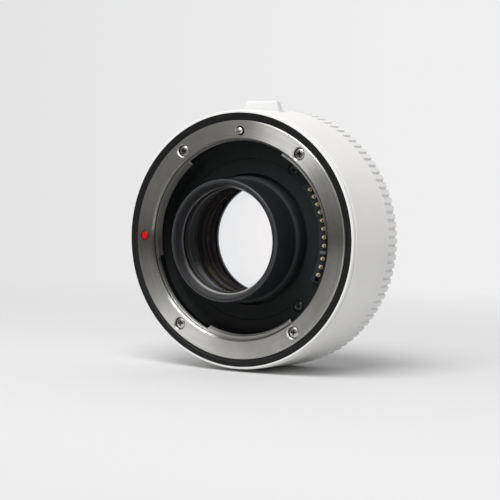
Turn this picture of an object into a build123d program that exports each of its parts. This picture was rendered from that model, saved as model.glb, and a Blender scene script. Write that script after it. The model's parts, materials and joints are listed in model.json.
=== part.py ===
from build123d import *
from math import cos, hypot, radians, sin, sqrt
import os

# Camera teleconverter: a short barrel that goes between a camera body and a lens.
# Millimetres. +Z is up, the optical axis is Y, and the lens side faces -Y.
# The origin is the centre of the camera-side flange plane.
# A depth is measured along the optical axis from the lens-side flange plane.
# Angles run anticlockwise from +X as seen from the lens side, so 90 is the top.

# Driving sizes, stacked outward from the optical tube.
# They bring the throat to 27.05 and the steel rings to 32.5, the sizes of the standard bayonet.
flange_distance = 27.2
tube_radius = 16.5
cavity_width = 10.55
ring_width = 5.45
tab_height = 1.15

# A whole turn, for rings
full_turn_angle = 360.0

# Clearances
seat_gap = 0.05
running_gap = 0.05
body_gap = 0.3
cut_overrun = 2.0

# Lens-side mount ring
ring_thickness = 2.6
ring_edge_chamfer = 0.2
throat_chamfer = 0.5
throat_relief = 0.2
throat_step_length = 0.2
tab_front_depth = 1.2
tab_lead_width = 0.5
tab_lead_depth = 1.1
tab_angles = ((5.0, 62.0), (129.0, 192.0), (249.0, 306.5))
ring_screw_angles = (52.4, 127.0, 233.0, 306.4)
ring_screw_share = 0.523
lock_pin_share = 0.468
index_dot_share = 0.541
lock_pin_angle = 90.0
index_dot_angle = 180.0

# Screws
screw_head_radius = 1.5
screw_head_height = 0.85
screw_dome_share = 0.45
screw_dome_shares = ((0.0, 0.0), (0.45, 0.07), (0.75, 0.28), (0.93, 0.62), (1.0, 1.0))
screw_sink = 0.3
screw_mouth_chamfer = 0.3
screw_shank_radius = 0.85
screw_length = 5.4
screw_cross_width = 0.45
screw_cross_span = 1.6
screw_cross_depth = 0.6
small_screw_head_radius = 1.25
small_screw_head_height = 0.6
small_screw_shank_radius = 0.6
small_cross_width = 0.3
small_cross_span = 1.4
small_cross_depth = 0.4
screw_seat_gap = 0.1

# Index dots
index_dot_radius = 1.3
index_dot_depth = 0.9
index_dot_stand = 0.2
index_dot_dome = 0.4
index_dome_shares = ((0.0, 0.0), (0.45, 0.08), (0.75, 0.33), (0.92, 0.65), (1.0, 1.0))
camera_dot_angle = 120.0
camera_dot_radius = 0.5
camera_dot_sink = 0.5
camera_dot_proud = 0.25

# Shim and bayonet leaf springs between the ring and the chassis
shim_space = 0.3
shim_thickness = 0.22
shim_width_share = 0.62
leaf_inset_angle = 4.0

# Black trim band and white front rim
trim_width = 2.0
trim_sink = 0.15
trim_bevel_width = 0.85
trim_bevel_depth = 0.35
trim_lip_thickness = 1.3
rim_width = 0.6
rim_sink = 0.1
rim_thickness = 1.1
rim_chamfer = 0.2
rim_seam = 0.3

# Outer barrel
barrel_step = 0.2
barrel_flare = 0.6
barrel_wall = 1.8
barrel_front_chamfer = 0.2
barrel_lip_drop = 1.4
barrel_rear_chamfer = 0.4
barrel_rear_setback = 0.6
rib_count = 99
rib_phase_angle = 0.75
rib_depth = 0.5
rib_band_length = 5.5
rib_band_edge_distance = 2.2
rib_crown_share = 0.56
rib_root_share = 0.3
rib_core_sink = 0.2
rib_crown_stand = 0.05
rib_ramp_start = 0.25
rib_ramp_length = 1.8

# Chassis inside the barrel
chassis_wall = 2.3
boss_length = 5.1
baffle_wall = 0.75
web_thickness = 2.0
rear_web_thickness = 1.3
rear_web_setback = 1.4
rear_boss_share = 0.39

# Cavity baffle: the black floor and wall behind the lens-side throat
cavity_depth = 6.5
cavity_taper = 1.45
cavity_straight_depth = 4.9
floor_thickness = 0.8
floor_hole_gap = 0.75
floor_step = 0.2
floor_step_width = 3.3

# Front contact block, its eleven sprung pins and their leaf springs
contact_inset = 1.5
contact_angles = (36.2, 30.8, 25.4, 20.0, 14.6, 9.2, 3.8, -1.6, -10.0, -15.4, -20.8)
contact_end_angle = 5.0
notch_end_angle = 5.7
window_gap_angle = 0.5
block_rise = 1.5
block_half_width = 1.6
block_rim_gap = 0.15
block_base_inner_width = 0.65
block_base_outer_width = 1.2
block_screw_angles = (55.5, -48.0)
block_screw_inset = 2.1
block_screw_margin_angle = 6.0
block_counterbore_radius = 1.75
block_counterbore_depth = 0.5
block_screw_length = 3.0
pin_stand = 1.0
pin_tip_radius = 0.4
pin_tip_length = 0.7
pin_tip_chamfer = 0.12
pin_shaft_radius = 0.55
pin_shaft_length = 1.85
pin_collar_radius = 0.7
pin_collar_length = 0.6
pin_travel = 0.8
leaf_room = 1.65
pocket_width = 1.5
pocket_inward = 1.25
pocket_outward = 0.95
leaf_thickness = 0.12
leaf_width = 0.8
leaf_foot_length = 0.9
notch_angle = -24.0
notch_size = 1.3
notch_depth = 1.2
key_rib_angle = -6.0
key_rib_thickness = 0.8
key_rib_length = 1.7
key_rib_height = 0.7

# Lock pin, its spring, the carriage and the release lever
lock_pin_radius = 1.0
lock_pin_stand = 0.85
lock_pin_dome = 0.7
dome_shares = ((0.0, 0.0), (0.6, 0.2), (0.9, 0.55), (1.0, 1.0))
lock_pin_hole_gap = 0.3
lock_hole_chamfer = 0.15
lock_collar_radius = 1.35
lock_collar_thickness = 0.7
lock_tail_radius = 0.8
lock_clip_radius = 1.3
lock_clip_thickness = 0.7
lock_guide_length = 1.0
lever_travel = 1.8
spring_wire_radius = 0.12
spring_radius = 1.1
spring_turns = 4.0
carriage_half_width = 5.1
carriage_thickness = 1.0
carriage_drop = 0.1
fork_half_width = 2.6
fork_thickness = 1.0
fork_reach = 1.7
knob_front_depth = 11.0
knob_length = 2.9
knob_half_width = 5.9
knob_height = 2.7
knob_top_half_width = 4.7
knob_front_slope = 0.5
knob_fillet = 0.6
shank_half_width = 3.2
shank_inset = 0.4
track_sink = 0.4
track_margin = 0.6
slot_margin = 0.3

# Optical tube
tube_stand = 7.6
tube_wall = 1.6
tube_rim_chamfer = 0.3
tube_neck_end_depth = 2.9
tube_shoulder_rise = 0.85
tube_shoulder_round = 0.28
tube_shoulder_end_depth = 5.8
tube_neck_relief = 0.35
rear_bore_step = 1.8
rear_tube_clearance = 1.6
tube_flange_width = 6.0
tube_flange_thickness = 1.6
tube_flange_clearance = 1.1
tube_rear_setback = 1.6
tube_screw_angles = (130.0, 230.0, 330.0)
tube_screw_inset = 2.5
web_screw_length = 2.9

# Front bevel ring and the retaining rings
bevel_mouth_radius = 15.1
bevel_face_width = 0.5
bevel_throat_radius = 14.25
bevel_depth = 2.1
bevel_land = 0.6
light_trap_length = 1.5
retainer_bore_inset = 0.85
retainer_thickness = 1.4
retainer_chamfer = 0.6
rear_retainer_width = 1.1
rear_retainer_thickness = 1.4
rear_retainer_setback = 0.8
spacer_width = 0.65

# Lens groups: shares of the pack length, and how far each face bulges outward
front_group_share = 0.39
front_space_share = 0.075
front_glass_bulges = (0.8, -1.2)
middle_glass_bulges = (-0.9, 0.6)
rear_glass_bulges = (-1.0, 0.7)
rear_seat_share = 0.72
middle_group_share = 0.66

# Circuit board and flexible cables
board_thickness = 0.8
board_inner_gap = 1.5
board_outer_gap = 1.5
board_seat_gap = 0.1
board_screw_angles = (70.0, 190.0, 290.0)
board_screw_inset = 1.9
chip_angles = (150.0, 215.0, 250.0)
chip_length_shares = (0.9, 0.7, 0.55)
chip_height = 0.9
cable_thickness = 0.2
cable_half_width = 4.0
cable_lap = 2.2
cable_window_gap = 0.5
front_cable_angle = 19.0
rear_cable_angle = -8.0

# Camera-side bayonet ring
camera_ring_thickness = 2.6
neck_length = 4.4
neck_clearance = 0.2
neck_wall = 1.0
lug_clearance = 0.15
lug_front = 2.8
lug_chamfer = 0.25
lug_angles = ((5.0, 60.0), (132.5, 187.5), (248.0, 302.0))
flange_relief_width = 0.4
flange_relief_depth = 0.2
lock_socket_radius = 1.4
lock_socket_depth = 2.0

# Camera-side contact block, pads and baffle
pad_radius = 0.8
pad_thickness = 0.25
pad_sink = 0.125
pad_inward = 0.4
camera_block_stand = 4.4
camera_block_inner_width = 2.1
camera_block_end_angle = 6.0
camera_block_screw_angles = (50.0, -38.0)
camera_ear_angle = 8.0
camera_screw_length = 6.4
camera_screw_inset = 1.5
camera_baffle_stand = 1.2
camera_baffle_thickness = 0.8
camera_baffle_slope = 2.4
camera_baffle_opening_gap = 0.9
camera_baffle_skirt = 0.85

# Weather seal
seal_lip = 0.5
seal_lip_width = 0.5

# Radii worked out from the driving sizes
throat_radius = tube_radius + cavity_width
mount_ring_radius = throat_radius + ring_width
trim_radius = mount_ring_radius + seat_gap + trim_width
rim_inner_radius = trim_radius + seat_gap
rim_radius = rim_inner_radius + rim_width
barrel_front_radius = rim_radius + barrel_step
barrel_radius = barrel_front_radius + barrel_flare
barrel_inner_radius = barrel_front_radius - barrel_wall
barrel_rear_radius = barrel_radius - barrel_lip_drop
chassis_radius = barrel_inner_radius - body_gap
chassis_inner_radius = chassis_radius - chassis_wall
tab_radius = throat_radius - tab_height
baffle_radius = throat_radius + baffle_wall
boss_inner_radius = baffle_radius + screw_seat_gap
cavity_floor_radius = throat_radius - cavity_taper
contact_radius = cavity_floor_radius - contact_inset
block_outer_radius = cavity_floor_radius - block_rim_gap
block_screw_radius = cavity_floor_radius - block_screw_inset
ring_screw_radius = throat_radius + ring_screw_share * ring_width
lock_radius = throat_radius + lock_pin_share * ring_width
index_radius = throat_radius + index_dot_share * ring_width
shoulder_radius = tube_radius + tube_shoulder_rise
floor_hole_radius = shoulder_radius + floor_hole_gap
lens_bore_radius = tube_radius - tube_wall
rear_bore_radius = lens_bore_radius + rear_bore_step
neck_radius = tab_radius - neck_clearance
neck_inner_radius = neck_radius - neck_wall
lug_radius = throat_radius - lug_clearance
camera_block_radius = neck_inner_radius - screw_seat_gap
camera_screw_radius = camera_block_radius - camera_screw_inset
pad_pitch_radius = contact_radius - pad_inward
camera_block_inner_radius = pad_pitch_radius - camera_block_inner_width
rear_tube_radius = camera_block_inner_radius - rear_tube_clearance
tube_flange_radius = rear_tube_radius + tube_flange_width
tube_screw_radius = tube_flange_radius - tube_screw_inset
board_screw_radius = chassis_inner_radius - board_outer_gap - board_screw_inset
front_cable_radius = tube_flange_radius + cable_window_gap + cable_thickness
carriage_floor = chassis_inner_radius - carriage_drop
web_inner_radius = rear_tube_radius + body_gap

# Depths worked out from the driving sizes, from the lens side backward
chassis_front_depth = ring_thickness + shim_space
boss_end_depth = chassis_front_depth + boss_length
barrel_front_depth = rim_sink + rim_thickness + rim_seam
floor_back_depth = cavity_depth + floor_thickness
block_face_depth = cavity_depth - block_rise
block_base_depth = floor_back_depth + seat_gap
pin_tip_depth = block_face_depth - pin_stand
pin_shaft_depth = pin_tip_depth + pin_tip_length
pin_collar_depth = pin_shaft_depth + pin_shaft_length
pin_back_depth = pin_collar_depth + pin_collar_length
block_back_depth = pin_back_depth + pin_travel + leaf_room
tube_flange_front_depth = block_back_depth + cable_thickness + tube_flange_clearance
web_front_depth = tube_flange_front_depth + tube_flange_thickness
web_back_depth = web_front_depth + web_thickness
board_front_depth = web_back_depth + board_seat_gap
board_back_depth = board_front_depth + board_thickness
tube_end_depth = flange_distance - tube_rear_setback
camera_ring_front_depth = flange_distance - camera_ring_thickness
rear_boss_depth = board_back_depth + rear_boss_share * (camera_ring_front_depth - board_back_depth)
rear_web_back_depth = camera_ring_front_depth - rear_web_setback
rear_web_front_depth = rear_web_back_depth - rear_web_thickness
rib_band_end_depth = flange_distance - rib_band_edge_distance
rib_band_front_depth = rib_band_end_depth - rib_band_length
barrel_end_depth = flange_distance - barrel_rear_setback
camera_block_face_depth = flange_distance + camera_block_stand
camera_baffle_face_depth = flange_distance + camera_baffle_stand
camera_baffle_back_depth = camera_baffle_face_depth - camera_baffle_thickness
retainer_front_depth = bevel_depth + bevel_land + light_trap_length - tube_stand
glass_front_depth = retainer_front_depth + retainer_thickness
glass_end_depth = tube_end_depth - rear_retainer_setback - rear_retainer_thickness
glass_pack_length = glass_end_depth - glass_front_depth
rear_seat_depth = glass_front_depth + rear_seat_share * glass_pack_length


def turned(profile, start=0.0, end=full_turn_angle):
    """Solid of revolution about the optical axis, from (radius, depth) corners."""
    corners = [(radius, depth - flange_distance) for radius, depth in profile]
    face = make_face(Polyline(*corners, close=True))
    return revolve(face, axis=Axis.Y, revolution_arc=end - start).rotate(Axis.Y, -end)


def at(radius, angle, shape):
    """Shape carried from the optical axis to a place on a pitch circle."""
    return Pos(radius * cos(radians(angle)), 0, radius * sin(radians(angle))) * shape


def rod(radius, front, back):
    """Round bar on the optical axis between two depths."""
    return turned([(0, front), (radius, front), (radius, back), (0, back)])


def slab(x_range, depth_range, z_range):
    """Rectangular block between two X values, two depths and two Z values."""
    sizes = [high - low for low, high in (x_range, depth_range, z_range)]
    middle = [(low + high) / 2 for low, high in (x_range, depth_range, z_range)]
    return Pos(middle[0], middle[1] - flange_distance, middle[2]) * Box(*sizes)


def prism(outline, half_width, angle):
    """Flat (radius, depth) outline with a width across it, turned to an angle."""
    corners = [(radius, depth - flange_distance) for radius, depth in outline]
    face = make_face(Polyline(*corners, close=True))
    return extrude(face, amount=half_width, both=True).rotate(Axis.Y, -angle)


def ribbon(route, thickness, half_width, angle):
    """Thin strip that follows square-cornered (radius, depth) route points."""
    parts = []
    for (radius_a, depth_a), (radius_b, depth_b) in zip(route, route[1:]):
        low_r, high_r = sorted((radius_a, radius_b))
        low_d, high_d = sorted((depth_a, depth_b))
        margin = thickness / 2
        x_range = (low_r - margin, high_r + margin)
        depth_range = (low_d - margin, high_d + margin)
        parts.append(slab(x_range, depth_range, (-half_width, half_width)))
    strip = parts[0]
    for part in parts[1:]:
        strip = strip + part
    return strip.rotate(Axis.Y, -angle)


def cross_slots(face_depth, inward, width, span, depth):
    """Cross recess in a screw head; inward is +1 where the head looks to the lens side."""
    bottom = face_depth + inward * depth
    outside = face_depth - inward * cut_overrun
    depth_range = tuple(sorted((bottom, outside)))
    across = (-span / 2, span / 2)
    narrow = (-width / 2, width / 2)
    return slab(across, depth_range, narrow) + slab(narrow, depth_range, across)


def screw(face_depth, inward, head, shank_radius, length, cross):
    """Screw on the optical axis, with the top of its domed head at a depth."""
    head_radius, head_height = head
    under_head = face_depth + inward * head_height
    tip = face_depth + inward * length
    drop = inward * head_height * screw_dome_share
    dome = [
        (head_radius * radius_share, face_depth + drop * depth_share)
        for radius_share, depth_share in screw_dome_shares
    ]
    body = turned(dome + [
        (head_radius, under_head),
        (shank_radius, under_head),
        (shank_radius, tip),
        (0, tip),
    ])
    return body - cross_slots(face_depth, inward, *cross)


def flared_hole(radius, chamfer, face_depth, inward, end_depth):
    """Hole with a chamfered mouth, from outside a face down to a depth, to take from a ring."""
    outside = face_depth - inward * cut_overrun
    return turned([
        (0, outside),
        (radius + chamfer, outside),
        (radius + chamfer, face_depth),
        (radius, face_depth + inward * chamfer),
        (radius, end_depth),
        (0, end_depth),
    ])


def ring_screws(face_depth, inward):
    """The four screws of one bayonet ring."""
    head = (screw_head_radius, screw_head_height)
    cross = (screw_cross_width, screw_cross_span, screw_cross_depth)
    pattern = screw(face_depth, inward, head, screw_shank_radius, screw_length, cross)
    return Compound([at(ring_screw_radius, angle, pattern) for angle in ring_screw_angles])


def ring_screw_cuts(face_depth, inward):
    """Counterbores and through holes for those screws, to take from a ring."""
    seat = face_depth + inward * (screw_sink + screw_head_height)
    far = face_depth + inward * (screw_length + cut_overrun)
    head_radius = screw_head_radius + screw_seat_gap
    head_cut = flared_hole(head_radius, screw_mouth_chamfer, face_depth, inward, seat)
    hole = rod(screw_shank_radius + screw_seat_gap, *sorted((face_depth, far)))
    pattern = head_cut + hole
    return [at(ring_screw_radius, angle, pattern) for angle in ring_screw_angles]


def ring_screw_threads(face_depth, inward):
    """Blind holes for the screws' ends, to take from the chassis."""
    far = face_depth + inward * (screw_length + screw_sink + body_gap)
    outside = face_depth - inward * cut_overrun
    hole = rod(screw_shank_radius + seat_gap, *sorted((outside, far)))
    return [at(ring_screw_radius, angle, hole) for angle in ring_screw_angles]


def arc_block(radii, depths, angles):
    """Block bent about the optical axis between two radii, depths and angles."""
    (inner, outer), (front, back) = radii, depths
    profile = [(inner, front), (outer, front), (outer, back), (inner, back)]
    return turned(profile, *angles)


def widened(angles, margin):
    """Angle range opened by a margin at both ends."""
    start, end = angles
    return (start - margin, end + margin)


def make_lens_mount_ring():
    """Female bayonet ring: chamfered throat, three tabs with a lead-in, and its holes."""
    lip_radius = throat_radius + throat_relief
    root_radius = lip_radius + throat_chamfer
    ring = turned([
        (root_radius, 0),
        (mount_ring_radius - ring_edge_chamfer, 0),
        (mount_ring_radius, ring_edge_chamfer),
        (mount_ring_radius, ring_thickness),
        (throat_radius, ring_thickness),
        (throat_radius, tab_front_depth + throat_step_length),
        (lip_radius, tab_front_depth),
        (lip_radius, throat_chamfer),
    ])
    tab = [
        (root_radius, tab_front_depth),
        (tab_radius + tab_lead_width, tab_front_depth),
        (tab_radius, tab_front_depth + tab_lead_depth),
        (tab_radius, ring_thickness),
        (root_radius, ring_thickness),
    ]
    for angles in tab_angles:
        ring = ring + turned(tab, *angles)
    for cut in ring_screw_cuts(0, 1):
        ring = ring - cut
    hole_end = ring_thickness + cut_overrun
    pin_hole = flared_hole(lock_pin_radius + lock_pin_hole_gap, lock_hole_chamfer, 0, 1, hole_end)
    ring = ring - at(lock_radius, lock_pin_angle, pin_hole)
    dot_seat = rod(index_dot_radius + seat_gap, -cut_overrun, index_dot_depth)
    return ring - at(index_radius, index_dot_angle, dot_seat)


def make_lens_index_dot():
    """Low domed dot in its seat on the ring's face."""
    dome = [
        (index_dot_radius * radius_share, index_dot_dome * depth_share - index_dot_stand)
        for radius_share, depth_share in index_dome_shares
    ]
    dot = turned(dome + [(index_dot_radius, index_dot_depth), (0, index_dot_depth)])
    return at(index_radius, index_dot_angle, dot)


def make_mount_shim():
    """Thin spacing ring behind the lens-side ring, with holes for its screws and pin."""
    width = shim_width_share * ring_width
    outer = mount_ring_radius - ring_edge_chamfer
    front = ring_thickness + (shim_space - shim_thickness) / 2
    shim = arc_block((outer - width, outer), (front, front + shim_thickness), (0.0, full_turn_angle))
    for cut in ring_screw_threads(0, 1):
        shim = shim - cut
    pin_hole = rod(lock_pin_radius + lock_pin_hole_gap, 0, chassis_front_depth + cut_overrun)
    return shim - at(lock_radius, lock_pin_angle, pin_hole)


def make_bayonet_springs():
    """Three flat leaves behind the tabs, which press on the lens's own lugs."""
    inner = tab_radius + screw_seat_gap
    outer = mount_ring_radius - ring_edge_chamfer - shim_width_share * ring_width - seat_gap
    front = ring_thickness + (shim_space - shim_thickness) / 2
    leaves = []
    for start, end in tab_angles:
        angles = (start + leaf_inset_angle, end - leaf_inset_angle)
        leaves.append(arc_block((inner, outer), (front, front + shim_thickness), angles))
    return Compound(leaves)


def make_lens_trim_ring():
    """Black band between the metal ring and the white rim."""
    inner = mount_ring_radius + seat_gap
    lip_back = trim_sink + trim_lip_thickness
    return turned([
        (inner, trim_sink + trim_bevel_depth),
        (inner + trim_bevel_width, trim_sink),
        (trim_radius, trim_sink),
        (trim_radius, lip_back),
        (barrel_inner_radius - seat_gap, lip_back),
        (barrel_inner_radius - seat_gap, chassis_front_depth - seat_gap),
        (inner, chassis_front_depth - seat_gap),
    ])


def make_front_rim_ring():
    """Narrow white ring that closes the barrel's front edge."""
    return turned([
        (rim_inner_radius, rim_sink),
        (rim_radius - rim_chamfer, rim_sink),
        (rim_radius, rim_sink + rim_chamfer),
        (rim_radius, rim_sink + rim_thickness),
        (rim_inner_radius, rim_sink + rim_thickness),
    ])


def rib_ring():
    """Ring of grip ribs: a toothed outline drawn out along the optical axis."""
    pitch = full_turn_angle / rib_count
    root_radius = barrel_radius - rib_depth
    front_y = rib_band_front_depth - flange_distance
    corners = []
    for index in range(rib_count):
        middle = rib_phase_angle + index * pitch
        crown = rib_crown_share * pitch / 2
        root = (1 - rib_root_share) * pitch / 2
        steps = ((-root, root_radius), (-crown, barrel_radius), (crown, barrel_radius), (root, root_radius))
        for offset, radius in steps:
            angle = radians(middle + offset)
            corners.append((radius * cos(angle), front_y, radius * sin(angle)))
    face = make_face(Polyline(*corners, close=True))
    ring = extrude(face, amount=rib_band_length, dir=(0, 1, 0))
    bore = (barrel_inner_radius + barrel_front_radius) / 2
    return ring - rod(bore, rib_band_front_depth - cut_overrun, rib_band_end_depth + cut_overrun)


def make_main_barrel():
    """White outer barrel: its grip flutes ramp down from the smooth front to the toothed end."""
    crest_radius = barrel_radius - rib_crown_stand
    core_radius = barrel_radius - rib_depth - rib_core_sink
    barrel = turned([
        (barrel_inner_radius, barrel_front_depth),
        (barrel_front_radius - barrel_front_chamfer, barrel_front_depth),
        (barrel_front_radius, barrel_front_depth + barrel_front_chamfer),
        (crest_radius, rib_band_front_depth + rib_ramp_start),
        (core_radius, rib_band_front_depth + rib_ramp_start + rib_ramp_length),
        (core_radius, rib_band_end_depth),
        (barrel_rear_radius, rib_band_end_depth),
        (barrel_rear_radius, barrel_end_depth - barrel_rear_chamfer),
        (barrel_rear_radius - barrel_rear_chamfer, barrel_end_depth),
        (barrel_inner_radius, barrel_end_depth),
    ])
    barrel = barrel + rib_ring()
    track_end = knob_front_depth + knob_length + lever_travel + track_margin
    track_half = knob_half_width + track_margin
    track_floor = barrel_front_radius - track_sink
    top = barrel_radius + knob_height
    barrel = barrel - slab(
        (-track_half, track_half), (knob_front_depth - track_margin, track_end), (track_floor, top))
    slot_half = shank_half_width + slot_margin
    slot_front = knob_front_depth + shank_inset - slot_margin
    slot_end = knob_front_depth + knob_length - shank_inset + lever_travel + slot_margin
    barrel = barrel - slab((-slot_half, slot_half), (slot_front, slot_end), (chassis_inner_radius, top))
    return barrel - camera_dot(camera_dot_radius + seat_gap, cut_overrun)


def camera_dot(radius, proud):
    """Radial plug at the camera-side index place, standing a given height proud."""
    length = camera_dot_sink + proud
    middle = barrel_rear_radius - camera_dot_sink + length / 2
    depth = (rib_band_end_depth + barrel_end_depth - barrel_rear_chamfer) / 2
    plug = Cylinder(radius, length, rotation=(0, 90, 0))
    plug = Pos(middle, depth - flange_distance, 0) * plug
    return plug.rotate(Axis.Y, -camera_dot_angle)


def make_chassis():
    """Inner frame: two screw bosses joined by a thin wall, and two webs."""
    web_outer = chassis_inner_radius
    rear_web_inner = camera_block_inner_radius + block_base_inner_width
    chassis = turned([
        (boss_inner_radius, chassis_front_depth),
        (chassis_radius, chassis_front_depth),
        (chassis_radius, camera_ring_front_depth),
        (boss_inner_radius, camera_ring_front_depth),
        (boss_inner_radius, rear_web_back_depth),
        (rear_web_inner, rear_web_back_depth),
        (rear_web_inner, rear_web_front_depth),
        (boss_inner_radius, rear_web_front_depth),
        (boss_inner_radius, rear_boss_depth),
        (chassis_inner_radius, rear_boss_depth),
        (web_outer, web_back_depth),
        (web_inner_radius, web_back_depth),
        (web_inner_radius, web_front_depth),
        (web_outer, web_front_depth),
        (chassis_inner_radius, boss_end_depth),
        (boss_inner_radius, boss_end_depth),
    ])
    for cut in ring_screw_threads(0, 1) + ring_screw_threads(flange_distance, -1):
        chassis = chassis - cut
    pocket = rod(lock_collar_radius + running_gap, 0, boss_end_depth - lock_guide_length)
    guide = rod(lock_tail_radius + running_gap, 0, boss_end_depth + cut_overrun)
    chassis = chassis - at(lock_radius, lock_pin_angle, pocket + guide)
    window_half = carriage_half_width + screw_seat_gap
    window_end = knob_front_depth + knob_length + lever_travel + body_gap
    chassis = chassis - slab(
        (-window_half, window_half), (boss_end_depth, window_end), (carriage_floor, barrel_radius))
    chassis = chassis - front_cable_window(web_front_depth - cut_overrun, web_back_depth + cut_overrun)
    tube_hole = web_screw_hole(tube_flange_front_depth, 1, seat_gap)
    for angle in tube_screw_angles:
        chassis = chassis - at(tube_screw_radius, angle, tube_hole)
    board_hole = web_screw_hole(board_back_depth, -1, seat_gap)
    for angle in board_screw_angles:
        chassis = chassis - at(board_screw_radius, angle, board_hole)
    for angle in camera_block_screw_angles:
        chassis = chassis - at(camera_screw_radius, angle, camera_screw_hole(seat_gap))
    return chassis


def front_cable_window(front, back):
    """Opening that the front cable passes through in a web and the board."""
    low = tube_flange_radius + seat_gap
    high = front_cable_radius + cable_thickness / 2 + cable_window_gap
    half = cable_half_width + cable_window_gap
    return slab((low, high), (front, back), (-half, half)).rotate(Axis.Y, -front_cable_angle)


def web_screw_hole(seat_depth, inward, gap):
    """Hole for a screw whose head sits on a seat at a depth."""
    outside = seat_depth - inward * cut_overrun
    tip = seat_depth + inward * web_screw_length
    return rod(small_screw_shank_radius + gap, *sorted((outside, tip)))


def camera_screw_hole(gap):
    """Hole for one of those screws, from the baffle's face down."""
    tip = camera_baffle_face_depth + small_screw_head_height - camera_screw_length
    return rod(small_screw_shank_radius + gap, tip - body_gap, camera_baffle_face_depth + cut_overrun)


def make_cavity_baffle():
    """Black floor and tapering wall behind the throat, with a window for the contacts."""
    step_radius = cavity_floor_radius - floor_step_width
    baffle = turned([
        (floor_hole_radius, cavity_depth + floor_step),
        (step_radius - floor_step, cavity_depth + floor_step),
        (step_radius, cavity_depth),
        (cavity_floor_radius, cavity_depth),
        (throat_radius, cavity_straight_depth),
        (throat_radius, chassis_front_depth + seat_gap),
        (baffle_radius, chassis_front_depth + seat_gap),
        (baffle_radius, floor_back_depth),
        (floor_hole_radius, floor_back_depth),
    ])
    window_angles = widened(contact_block_angles(), window_gap_angle)
    radii = (contact_radius - block_half_width - seat_gap, block_outer_radius + seat_gap)
    baffle = baffle - arc_block(radii, (block_face_depth, floor_back_depth + cut_overrun), window_angles)
    seat_depth = cavity_depth + block_counterbore_depth
    for angle in block_screw_angles:
        sink = rod(block_counterbore_radius, cavity_depth - cut_overrun, seat_depth)
        hole = rod(small_screw_shank_radius + screw_seat_gap, cavity_depth, floor_back_depth + cut_overrun)
        baffle = baffle - at(block_screw_radius, angle, sink + hole)
    return baffle


def contact_block_angles():
    """First and last angle of the raised strip that holds the pins."""
    return (contact_angles[-1] - notch_end_angle, contact_angles[0] + contact_end_angle)


def make_front_contact_block():
    """Moulded strip with a stepped bore and a spring pocket for each pin."""
    outer = block_outer_radius
    inner = contact_radius - block_half_width
    base_angles = widened(block_screw_angles[::-1], block_screw_margin_angle)
    base_radii = (inner - block_base_inner_width, outer + block_base_outer_width)
    block = arc_block(base_radii, (block_base_depth, block_back_depth), base_angles)
    block = block + arc_block((inner, outer), (block_face_depth, block_base_depth), contact_block_angles())
    shaft_hole = rod(pin_shaft_radius + running_gap, 0, pin_collar_depth)
    for angle in contact_angles:
        block = block - at(contact_radius, angle, shaft_hole)
        block = block - contact_pocket(angle)
    block = block - notch_cut() + key_rib()
    screw_hole = rod(small_screw_shank_radius + seat_gap, 0, block_back_depth + cut_overrun)
    for angle in block_screw_angles:
        block = block - at(block_screw_radius, angle, screw_hole)
    return block


def contact_pocket(angle):
    """Pocket behind one pin for its collar and its leaf spring."""
    x_range = (contact_radius - pocket_inward, contact_radius + pocket_outward)
    depth_range = (pin_collar_depth - running_gap, block_back_depth + cut_overrun)
    return slab(x_range, depth_range, (-pocket_width / 2, pocket_width / 2)).rotate(Axis.Y, -angle)


def notch_cut():
    """Small square notch in the strip, past the last pin."""
    x_range = (contact_radius - notch_size / 2, contact_radius + notch_size / 2)
    depth_range = (block_face_depth - cut_overrun, block_face_depth + notch_depth)
    return slab(x_range, depth_range, (-notch_size / 2, notch_size / 2)).rotate(Axis.Y, -notch_angle)


def key_rib():
    """Small rib that stands between the two rows of pins."""
    x_range = (contact_radius - key_rib_length / 2, contact_radius + key_rib_length / 2)
    depth_range = (block_face_depth - key_rib_height, block_base_depth)
    half = key_rib_thickness / 2
    return slab(x_range, depth_range, (-half, half)).rotate(Axis.Y, -key_rib_angle)


def make_front_contact_screws():
    """Two small screws through the cavity floor into the contact block."""
    head = (small_screw_head_radius, small_screw_head_height)
    cross = (small_cross_width, small_cross_span, small_cross_depth)
    face_depth = cavity_depth + block_counterbore_depth - small_screw_head_height
    pattern = screw(face_depth, 1, head, small_screw_shank_radius, block_screw_length, cross)
    return Compound([at(block_screw_radius, angle, pattern) for angle in block_screw_angles])


def make_contact_pin(angle):
    """Sprung pin: rounded tip, shaft, and a collar that keeps it in the block."""
    pin = turned([
        (0, pin_tip_depth),
        (pin_tip_radius - pin_tip_chamfer, pin_tip_depth),
        (pin_tip_radius, pin_tip_depth + pin_tip_chamfer),
        (pin_tip_radius, pin_shaft_depth),
        (pin_shaft_radius, pin_shaft_depth),
        (pin_shaft_radius, pin_collar_depth),
        (pin_collar_radius, pin_collar_depth),
        (pin_collar_radius, pin_back_depth),
        (0, pin_back_depth),
    ])
    return at(contact_radius, angle, pin)


def make_contact_spring(angle):
    """Bent leaf in a pin's pocket, from its foot on the cable to the pin's back."""
    foot_depth = block_back_depth - seat_gap
    tip_depth = pin_back_depth + running_gap
    bend = contact_radius - pocket_inward + screw_seat_gap
    foot_end = bend + leaf_foot_length
    arm_top = contact_radius - pin_shaft_radius / 2
    tip_end = contact_radius + pin_shaft_radius
    slant = leaf_thickness * hypot(arm_top - bend, foot_depth - tip_depth) / (foot_depth - tip_depth)
    outline = [
        (foot_end, foot_depth),
        (bend, foot_depth),
        (arm_top, tip_depth),
        (tip_end, tip_depth),
        (tip_end, tip_depth + leaf_thickness),
        (arm_top + slant, tip_depth + leaf_thickness),
        (bend + slant, foot_depth - leaf_thickness),
        (foot_end, foot_depth - leaf_thickness),
    ]
    return prism(outline, leaf_width / 2, angle)


def fork_depths():
    """Front and back depth of the carriage's fork."""
    front = boss_end_depth + body_gap
    return (front, front + fork_thickness)


def lock_collar_depths():
    """Front and back depth of the lock pin's collar."""
    front = chassis_front_depth + seat_gap
    return (front, front + lock_collar_thickness)


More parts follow.
